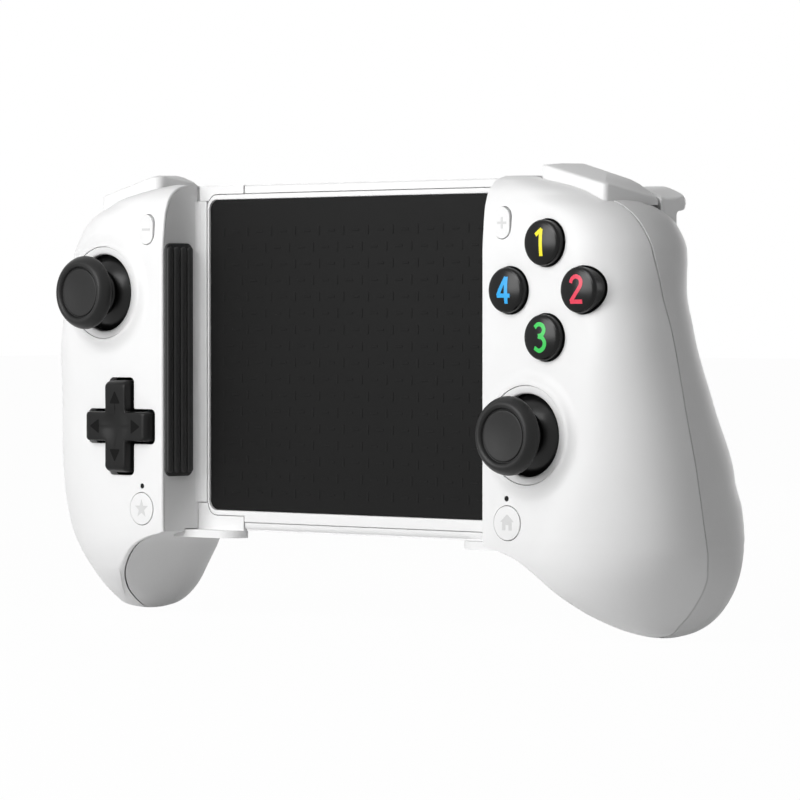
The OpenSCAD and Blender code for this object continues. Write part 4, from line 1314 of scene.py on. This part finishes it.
# The tray
@dataclass
class PhoneTray:
    """The tray between the halves: its frame, its pad and the carriage's cheek.

    Attributes:
        shop: makes the finishes.
        front: depth of the frame's front.
        sunk: how far the pad lies below the frame.
        low: lower left corner of the frame.
        high: upper right corner of the frame.
        corner: radius of the frame's corners.
        opening: corners of the frame's opening.
        opening_r: radius of its corners.
        rim: steps of the frame's rounded edge: how far in, and how far down.
        gap: gap between the opening and the pad.
        pitch: distance between the pad's dashes.
        dash: half the length and half the width of a dash.
        arms: where the carriage's arms start and end across.
        proud: how far the arms and the cheek stand in front of the frame.
        rear: depth of the arms' and the cheek's rear.
        bands: heights of the bands below and above the frame.
        slit: gap between the wall and the upper arm.
        line: width of the gaps round the arms.
        cheek_z: heights between which the cheek runs.
        lip_y: rear of the lip under the carriage.
    """

    shop: FinishShop
    front: float = 12.4
    sunk: float = 0.4
    low: Place = (-48.0, 22.0)
    high: Place = (54.8, 100.65)
    corner: float = 3.2
    opening: tuple[Place, Place] = ((-47.4, 24.7), (51.0, 99.4))
    opening_r: float = 2.4
    rim: tuple[Place, ...] = ((0.0, 0.3), (0.08, 0.08), (0.28, 0.0))
    gap: float = 0.1
    pitch: float = 3.9
    dash: Place = (1.15, 0.28)
    arms: Place = (-48.2, -35.8)
    proud: float = 0.06
    rear: float = 13.6
    bands: tuple[Place, Place] = ((20.0, 21.85), (100.8, 102.7))
    slit: float = 0.6
    line: float = 0.22
    cheek_z: Place = (26.57, 99.08)
    lip_y: float = 13.8

    def frame_form(self) -> Form:
        """Lofts the frame.

        Returns:
            The frame, with a rounded rim round the pad.
        """
        rings = [facing(round_rect(self.low, self.high, self.corner, inset), self.front + down)
                 for inset, down in ((0.0, 2.8), *self.rim)]
        rings += [facing(round_rect(*self.opening, self.opening_r, -inset), self.front + down)
                  for inset, down in (*reversed(self.rim), (0.0, 1.5))]
        return loft(rings)

    def pad_form(self) -> Form:
        """Makes the pad.

        Returns:
            A plate with a grid of small raised dashes.
        """
        (left, bottom), (right, top) = self.opening
        front, pitch, margin = self.front + self.sunk, self.pitch, 6 + 2 * self.gap
        forms = [plate(lambda inset: round_rect(*self.opening, self.opening_r, self.gap + inset), front, front + 1.2,
                       0.2, 3)]
        for i in range(int((right - left - margin) / pitch)):
            for j in range(int((top - bottom - margin) / pitch)):
                x = left + 4.7 + i * pitch + (pitch / 2 if j % 2 else 0)
                z = bottom + 4.5 + j * pitch
                w, h = self.dash if (i + j) % 2 else self.dash[::-1]
                forms.append(loft([facing(round_rect((x - w, z - h), (x + w, z + h), 0.25, inset, 2), front + down)
                                   for inset, down in ((0.0, 0.05), (0.0, -0.05), (0.08, -0.1))]))
        return together(forms)

    def arm(self, upper: bool, gap: float = 0.0) -> Form:
        """Front of one of the carriage's arms: a bar, and the corner that clasps the frame.

        Args:
            upper: whether it is the upper arm.
            gap: how far it is drawn out towards the frame.

        Returns:
            A plate, with the arm's front at the frame's.
        """
        way = -1 if upper else 1
        free, edge, sweep, wall = (self.bands[1][1], 100.75, 61, self.slit - WALL_X) if upper else (
            self.bands[0][0], 23.35, 90, -WALL_X)
        r = self.corner - 0.2
        middle = (self.low[0] + self.corner, edge + way * r)
        arc = [(middle[0] - (r - gap) * math.sin(a), middle[1] - way * (r - gap) * math.cos(a))
               for a in np.radians(np.linspace(0, sweep, 12))]
        end = self.arms[1] + gap
        outline = np.array([(wall, free), (end, free), (end, edge + way * gap), *arc, (wall, arc[-1][1])])
        return loft([facing(outline, depth) for depth in (self.rear, self.front - self.proud - 4 * gap)])

    def cheek(self) -> Form:
        """Lofts the hollow cheek.

        Returns:
            A bar between the left wall and the tray.
        """
        r, front, near = 1.0, self.front - self.proud, -self.arms[0]
        arc = [(WALL_X - r + r * math.cos(a), front - r + r * math.sin(a)) for a in np.linspace(0, math.pi / 2, 10)]
        outline = np.array([(WALL_X, self.rear), *arc, (near, front), (near, self.rear)])
        return loft([lying(outline, z) for z in self.cheek_z]).mirrored()

    def carriage(self) -> Piece:
        """Copies the frame's carriage, with a lip for a ledge, a slit by the wall and two parting lines.

        Returns:
            A new piece.
        """
        piece = placed("tray_carriage", frame["nodes"]["left_carriage"].data.copy())
        with editing(piece.data) as made:
            bmesh.ops.remove_doubles(made, verts=made.verts, dist=WELD)
        low, high = self.cheek_z
        outside = -WALL_X - 0.3
        for first, last in (((-49.5, self.lip_y, 15), (-30, 30, self.bands[0][0] + 0.02)),
                            ((outside, 11, high), (self.slit - WALL_X, 15.5, 105)),
                            ((outside, 11, high), (-47.3, 14.5, high + self.line)),
                            ((outside, 11, low - self.line), (-47.3, 14.5, low))):
            carve(piece, block(first, last))
        with editing(piece.data) as made:
            bmesh.ops.dissolve_limit(made, angle_limit=math.radians(0.5), verts=made.verts, edges=made.edges)
        soften(piece, 30)
        return piece

    def band(self, first: float, last: float) -> Form:
        """Front faces of the bands below and above the frame.

        Args:
            first: X where they start.
            last: X where they end.

        Returns:
            Two bars, rounded along their free edges.
        """
        rear = self.front + 0.9
        bars = []
        for (low, high), free, radius in zip(self.bands, (-1, 1), (1.5, 0.5)):
            edge, inner = (low, high) if free < 0 else (high, low)
            arc = [(self.front + radius * (1 - math.sin(a)), edge - free * radius * (1 - math.cos(a)))
                   for a in np.linspace(0, math.pi / 2, 8)]
            section = np.array([(rear, edge), *arc, (self.front, inner), (rear, inner)])
            bars.append(loft([upright(section, x) for x in (first, last)]))
        return together(bars)

    def build(self) -> None:
        """Builds the frame, the pad, the cheek, the carriage and the bands."""
        left, right = Side.LEFT.body, Side.RIGHT.body
        white = self.shop.material(TRAY_WHITE)
        rim = shown("tray_rim", self.frame_form(), 40)
        for upper in (False, True):
            carve(rim, self.arm(upper, self.line))
        soften(rim, 40)
        even_normals(rim)
        settle(rim, right, white, "tray_frame")
        settle(shown("tray_mat", self.pad_form(), 30), right, self.shop.material(PAD_BLACK), "tray_pad")
        cheek = together([self.cheek(), self.arm(False), self.arm(True)])
        settle(shown("carriage_cheek", cheek, 40), left, white)
        settle(self.carriage(), left, white, "left_carriage")
        settle(shown("tray_bands", self.band(self.arms[1] + 0.45, self.high[0]), 40), right, white)


@dataclass
class EndPad:
    """Ribbed rubber strip on the inner wall of a half.

    Attributes:
        shop: makes the finishes.
        side: the half that it is on.
        low: depth and height of its lower corner.
        high: depth and height of its upper corner.
        proud: how far it stands proud of the wall.
        ridges: number of its ridges.
        groove: half the width of the grooves between them.
        margin: how far the ridges stop short of its ends.
    """

    shop: FinishShop
    side: Side
    low: Place = (0.8, 32.9)
    high: Place = (10.0, 88.9)
    proud: float = 1.0
    ridges: int = 4
    groove: float = 0.22
    margin: float = 0.9

    def form(self) -> Form:
        """Lofts the strip.

        Returns:
            The strip with its ridges.
        """
        forms = [loft([upright(round_rect(self.low, self.high, 1.8, inset, 8), WALL_X - out)
                       for inset, out in ((0.0, 0.0), (0.0, 0.35), (0.12, 0.5))])]
        width = (self.high[0] - self.low[0]) / self.ridges
        for k in range(self.ridges):
            y = self.low[0] + k * width
            low = (y + self.groove, self.low[1] + self.margin)
            high = (y + width - self.groove, self.high[1] - self.margin)
            forms.append(loft([upright(round_rect(low, high, 0.8, inset, 6), WALL_X - out)
                               for inset, out in ((0.0, 0.4), (0.0, 0.7), (0.1, 0.88), (0.3, self.proud))]))
        return together(forms)

    def build(self) -> None:
        """Builds the strip."""
        piece = shown(f"{self.side.word}_grip_strip", self.form().sided(self.side), 50)
        settle(piece, self.side.body, self.shop.material(STRIP_BLACK), f"{self.side.word}_end_pad")


@dataclass
class Shoulder:
    """Bumper and trigger on top of a half.

    Attributes:
        shop: makes the finishes.
        side: the half that they are on.
        crest: X and height of the bumper's top along its front.
        fall: depth, and what the top loses there at the inner end, in the middle and at the outer end.
        ends: X where the inner end passes into the middle and the middle into the outer end.
        edge: radius of the bumper's upper edge.
        trigger_x: inner and outer side of the trigger.
        lip_y: how far back the trigger's lip reaches.
        lip_z: height of the lip's underside.
        neck_y: rear of the trigger's neck.
        lip_end: length over which the lip rounds off at each end.
        lip_rim: length over which its top rounds off at each end.
        pin: depth and height of the trigger's pin.
        hub_r: inner and outer radius of the hub on the pin.
        hub_x: where the hub starts and ends across.
        room: gap round the bumper in the shell.
    """

    shop: FinishShop
    side: Side
    crest: tuple[Place, ...] = ((60, 105.2), (62, 105.2), (64.7, 105.0), (69.2, 104.3), (74.5, 102.65), (79.2, 100.8),
                                (80.7, 100.3), (82.5, 99.6), (84.5, 98.6))
    fall: tuple[tuple[float, ...], ...] = ((8, 0.1, 0.1, 0.1), (9.5, -0.1, -0.3, -0.1), (12, -0.15, -0.6, -0.15),
                                           (14.5, 0.1, -0.75, 0.05), (17, 0.5, -0.8, 0.4), (19, 0.9, -0.75, 0.85),
                                           (21, 1.4, -0.55, 1.4), (22.8, 2.1, -0.2, 2.0))
    ends: tuple[Place, Place] = ((60.2, 65.0), (78.0, 84.0))
    edge: float = 0.45
    trigger_x: Place = (60.4, 83.8)
    lip_y: float = 33.2
    lip_z: float = 95.0
    neck_y: float = 28.2
    lip_end: float = 2.6
    lip_rim: float = 0.6
    pin: Place = (20.0, 93.0)
    hub_r: Place = (1.3, 1.7)
    hub_x: Place = (63.0, 82.6)

    room: ClassVar[float] = 0.22

    def __post_init__(self) -> None:
        """Prepares the smooth curves of the bumper's top."""
        self.crest_curve = Curve(np.array(self.crest, float))
        self.fall_curve = Curve(np.array(self.fall, float))

    @staticmethod
    def plan(inset: float) -> Array:
        """Outline of the bumper seen from above, drawn in by inset."""
        return rounded([(60.2, 8.0), (79.7, 8.0), (84.1, 22.8), (60.2, 22.8)], (2.4, 1.4, 1.5, 2.2), inset)

    def top(self, place: Array) -> float:
        """Height of the bumper's top over a place.

        Args:
            place: X and depth.

        Returns:
            The height.
        """
        inner, middle, outer = self.fall_curve.at(place[1])
        u, v = (min(max((place[0] - a) / (b - a), 0.0), 1.0) for a, b in self.ends)
        u, v = u * u * (3 - 2 * u), v * v * (3 - 2 * v)
        return float(self.crest_curve.at(place[0])[0] - inner - (middle - inner) * u - (outer - middle) * v)

    def bumper(self) -> Form:
        """Lofts the crowned bumper.

        Returns:
            The bumper, with a skirt that reaches into the shell and is shorter at the rear.
        """
        first = self.plan(0.0)
        back = np.clip((first[:, 1] - 13) / 4, 0, 1)
        rings = [lying(first, 100.3 - 0.24 * (first[:, 0] - 60.2) + 1.4 * back)]
        rounding = [(self.edge * (1 - math.cos(a)), self.edge * (1 - math.sin(a)))
                    for a in np.linspace(0, math.pi / 2, 6)]
        crown = [(inset, 0.0) for inset in (0.8, 1.3, 2.0, 3.0, 4.2, 5.6, 7.0)]
        for inset, down in rounding + crown:
            plan = self.plan(inset)
            rings.append(lying(plan, np.array([self.top(q) - down for q in plan])))
        return loft(rings)

    def lip_section(self, x: float) -> Array:
        """Section of the trigger at a place across it.

        Args:
            x: the place.

        Returns:
            One row of X, depth and height for each point.
        """
        first, last = self.trigger_x
        inside = min(x - first, last - x)
        end, rim = (1 - math.sqrt(1 - min(max(1 - inside / run, 0.0), 1.0) ** 2)
                    for run in (self.lip_end, self.lip_rim))
        reach = self.lip_y - 2.3 * end
        past = x - 77.9
        top = 100.7 - 0.21 * (past + math.sqrt(past ** 2 + 1.2)) - 0.5 * rim
        front = 23.1 - 0.5 * min(max((x - 82) / 1.8, 0.0), 1.0) ** 2
        low, neck = self.lip_z, self.neck_y
        out = reach - neck
        upper = smooth_path([(front, top - 0.9), (front + 0.3, top - 0.5), (front + 1.6, top - 0.6), (25.5, top - 0.75),
                             (27.4, top - 0.6), (reach - 2.2, top - 0.1), (reach - 1.2, top), (reach - 0.4, top - 0.45),
                             (reach, top - 1.4), (reach - 0.1, low + 1.3), (neck + 0.82 * out, low + 0.35),
                             (neck + 0.5 * out, low), (neck + 0.2 * out, low - 0.15), (neck + 0.03, low - 0.8),
                             (neck, low - 1.6)], 4)
        return upright(np.array([*upper, (neck, 86.2), (neck - 2.2, 86.2), (neck - 3, 91.0), (front, 91.4)]), x)

    def trigger(self) -> Form:
        """Makes the trigger.

        Returns:
            A lip over a neck, the hub on its pin and a rib between them.
        """
        first, last = self.trigger_x
        ends = (0.0, 0.1, 0.3, self.lip_rim, 1.2, 1.9, self.lip_end)
        middle = (66, 69, 72, 75, 76.5, 77.5, 78.5, 79.5)
        places = [*(first + d for d in ends), *middle, *(last - d for d in reversed(ends))]
        lip = loft([self.lip_section(x) for x in places])
        (bore, out), (start, stop) = self.hub_r, self.hub_x
        hub = turned_ring((0, 0), [(bore, -start), (out, -start), (out, -stop), (bore, -stop)], 48)
        hub.points = hub.points[:, [1, 0, 2]] + np.array([0.0, *self.pin])
        web = np.array([(21.5, 91.6), (24.6, 91.6), (24.6, 95.0), (23.2, 94.6), (21.5, 94.2)])
        rib = loft([upright(web, x) for x in (63.2, 82.8)])
        return together([lip, hub, rib])

    def build(self) -> None:
        """Builds the bumper and the trigger."""
        word, white = self.side.word, self.shop.material(SHELL_WHITE)
        for name, form, body in (("bumper_cap", self.bumper(), f"{word}_bumper"),
                                 ("trigger_lip", self.trigger(), f"{word}_trigger")):
            settle(shown(f"{word}_{name}", form.sided(self.side), 40), body, white, body)


@dataclass
class Innards:
    """Nodes of the frame that keep their own shape, and their finishes.

    Attributes:
        shop: makes the finishes.
    """

    shop: FinishShop

    def build(self) -> None:
        """Gives each slot's nodes their finish."""
        finishes = {Slot.WHITE: TRAY_WHITE, Slot.PAD: STRIP_BLACK, Slot.CAP: CAP_RUBBER, Slot.BLACK: DPAD_BLACK,
                    Slot.GLOSS: LAMP_BLACK, Slot.STEEL: STEEL, Slot.BOARD: BOARD_GREEN, Slot.GREY: MOULD_GREY,
                    Slot.BATTERY: CELL_BLUE, Slot.RIBBON: RIBBON_AMBER, Slot.MEMBRANE: MEMBRANE_GREY}
        by_name = {slot.value: finish for slot, finish in finishes.items()}
        for row in frame["record"]["subparts"]:
            node = frame["nodes"][row["node"]]
            node.data.materials.clear()
            node.data.materials.append(self.shop.material(by_name[row["material_slot"]]))


# The studio
@dataclass
class Studio:
    """Floor, light and camera.

    Attributes:
        turn: how far the camera stands to the right, in degrees.
        pitch: how far it looks down, in degrees.
        lens: focal length on a 36 mm sensor.
        eye: place of the camera in millimetres.
        world: strength of the light all round.
        floor_white: share of plain white in the floor where it is seen.
        floor_z: height of the floor in millimetres.
        floor_half: half the floor's width in metres.
        middle: height that the lamps point at, in metres.
        lamps: name, turn, rise, distance, size and power of each lamp, as lamp() takes them.
    """

    turn: float = 42.0
    pitch: float = -1.015
    lens: float = 202.5
    eye: tuple[float, float, float] = (713.2, -780.5, 70.4)
    world: float = 0.13
    floor_white: float = 0.98
    floor_z: float = -1.6
    floor_half: float = 6.0
    middle: float = 0.055
    lamps: tuple[tuple[str, float, float, float, Place, float], ...] = (
        ("key", 0, 30, 0.55, (0.3, 0.24), 1.5), ("box", -20, 11, 0.85, (0.36, 0.34), 2.75),
        ("glint", 30, 60, 0.8, (0.12, 0.08), 0.25), ("rim", 140, 12, 0.8, (0.3, 0.3), 0.4),
        ("rear", 185, 8, 0.9, (0.5, 0.4), 1.8))

    @staticmethod
    def heading(turn: float, rise: float) -> Vector:
        """Direction from the middle to a place in front, so many degrees to the right and up."""
        a, e = math.radians(turn), math.radians(rise)
        return Vector((math.sin(a) * math.cos(e), -math.cos(a) * math.cos(e), math.sin(e)))

    @staticmethod
    def aim(piece: Piece, where: Vector, back: Vector) -> None:
        """Sets up a camera or lamp.

        Args:
            piece: the camera or lamp.
            where: its place in metres.
            back: the direction that it faces away from.
        """
        piece.location = where
        piece.rotation_mode = "QUATERNION"
        piece.rotation_quaternion = (-back).to_track_quat("-Z", "Y")

    def camera(self) -> None:
        """Sets the camera at the photograph's angle."""
        data = bpy.data.cameras.new("camera")
        data.lens, data.sensor_width = self.lens, 36.0
        data.clip_start, data.clip_end = 0.05, 50.0
        camera = placed("camera", data)
        self.aim(camera, Vector(self.eye) * MM, self.heading(self.turn, -self.pitch))
        bpy.context.scene.camera = camera

    def lamp(self, name: str, turn: float, rise: float, away: float, size: Place, power: float) -> None:
        """Hangs a soft light.

        Args:
            name: name of the lamp.
            turn: where it stands, in degrees to the right of straight in front.
            rise: how high it stands, in degrees.
            away: distance from the middle, in metres.
            size: its width and height in metres.
            power: its power in watts.
        """
        data = bpy.data.lights.new(name, "AREA")
        data.shape, data.size, data.size_y, data.energy = "RECTANGLE", size[0], size[1], power
        out = self.heading(turn, rise)
        self.aim(placed(name, data), Vector((0, 0, self.middle)) + out * away, out)

    @staticmethod
    def seen(tree: Tree) -> Socket:
        """Adds nodes that tell what is seen from what only lights.

        Args:
            tree: node tree of the floor or the world.

        Returns:
            A socket that is 1 for camera, glossy and transmission rays.
        """
        ray = tree.nodes.new("ShaderNodeLightPath")
        socket = ray.outputs["Is Camera Ray"]
        for kind in ("Is Glossy Ray", "Is Transmission Ray"):
            socket = math_node(tree, "MAXIMUM", socket, ray.outputs[kind])
        return socket

    def floor(self) -> None:
        """Lays a pale floor that is seen as white, but for a share of the shadow."""
        half = self.floor_half
        mesh = bpy.data.meshes.new("floor")
        mesh.from_pydata([(-half, -half, 0), (half, -half, 0), (half, half, 0), (-half, half, 0)], [], [(0, 1, 2, 3)])
        floor = placed("floor", mesh)
        floor.location.z = self.floor_z * MM
        made = bpy.data.materials.new("floor")
        made.use_nodes = True
        nodes, links = made.node_tree.nodes, made.node_tree.links
        shader = nodes["Principled BSDF"]
        shader.inputs["Base Color"].default_value = (0.8, 0.8, 0.8, 1)
        shader.inputs["Roughness"].default_value = 0.9
        shader.inputs["Specular IOR Level"].default_value = 0.0
        share = math_node(made.node_tree, "MULTIPLY", self.seen(made.node_tree), self.floor_white)
        both = nodes.new("ShaderNodeMixShader")
        links.new(share, both.inputs["Fac"])
        links.new(shader.outputs[0], both.inputs[1])
        links.new(nodes.new("ShaderNodeEmission").outputs[0], both.inputs[2])
        links.new(both.outputs[0], nodes["Material Output"].inputs["Surface"])
        mesh.materials.append(made)

    def air(self) -> None:
        """Makes the world: white where it is seen, weaker where it lights."""
        world = bpy.data.worlds.new("studio")
        bpy.context.scene.world = world
        world.use_nodes = True
        tree = world.node_tree
        sky = tree.nodes["Background"].inputs
        sky["Color"].default_value = (1, 1, 1, 1)
        tree.links.new(math_node(tree, "MULTIPLY_ADD", self.seen(tree), 1 - self.world, self.world), sky["Strength"])

    def build(self) -> None:
        """Sets up the camera, the floor and the light."""
        bpy.context.scene.view_settings.view_transform = "Standard"
        self.camera()
        self.floor()
        self.air()
        for row in self.lamps:
            self.lamp(*row)


def main() -> None:
    """Builds the controller and its studio."""
    logging.basicConfig(level=logging.INFO, format="%(message)s")
    shop = FinishShop()
    Innards(shop).build()
    for side in Side:
        GripHalf(shop, side).build()
        Thumbstick(shop, side).build()
        EndPad(shop, side).build()
        Shoulder(shop, side).build()
    DPad(shop).build()
    FaceButtons(shop).build()
    SmallButtons(shop).build()
    PhoneTray(shop).build()
    Studio().build()


if __name__ == "__main__":
    main()
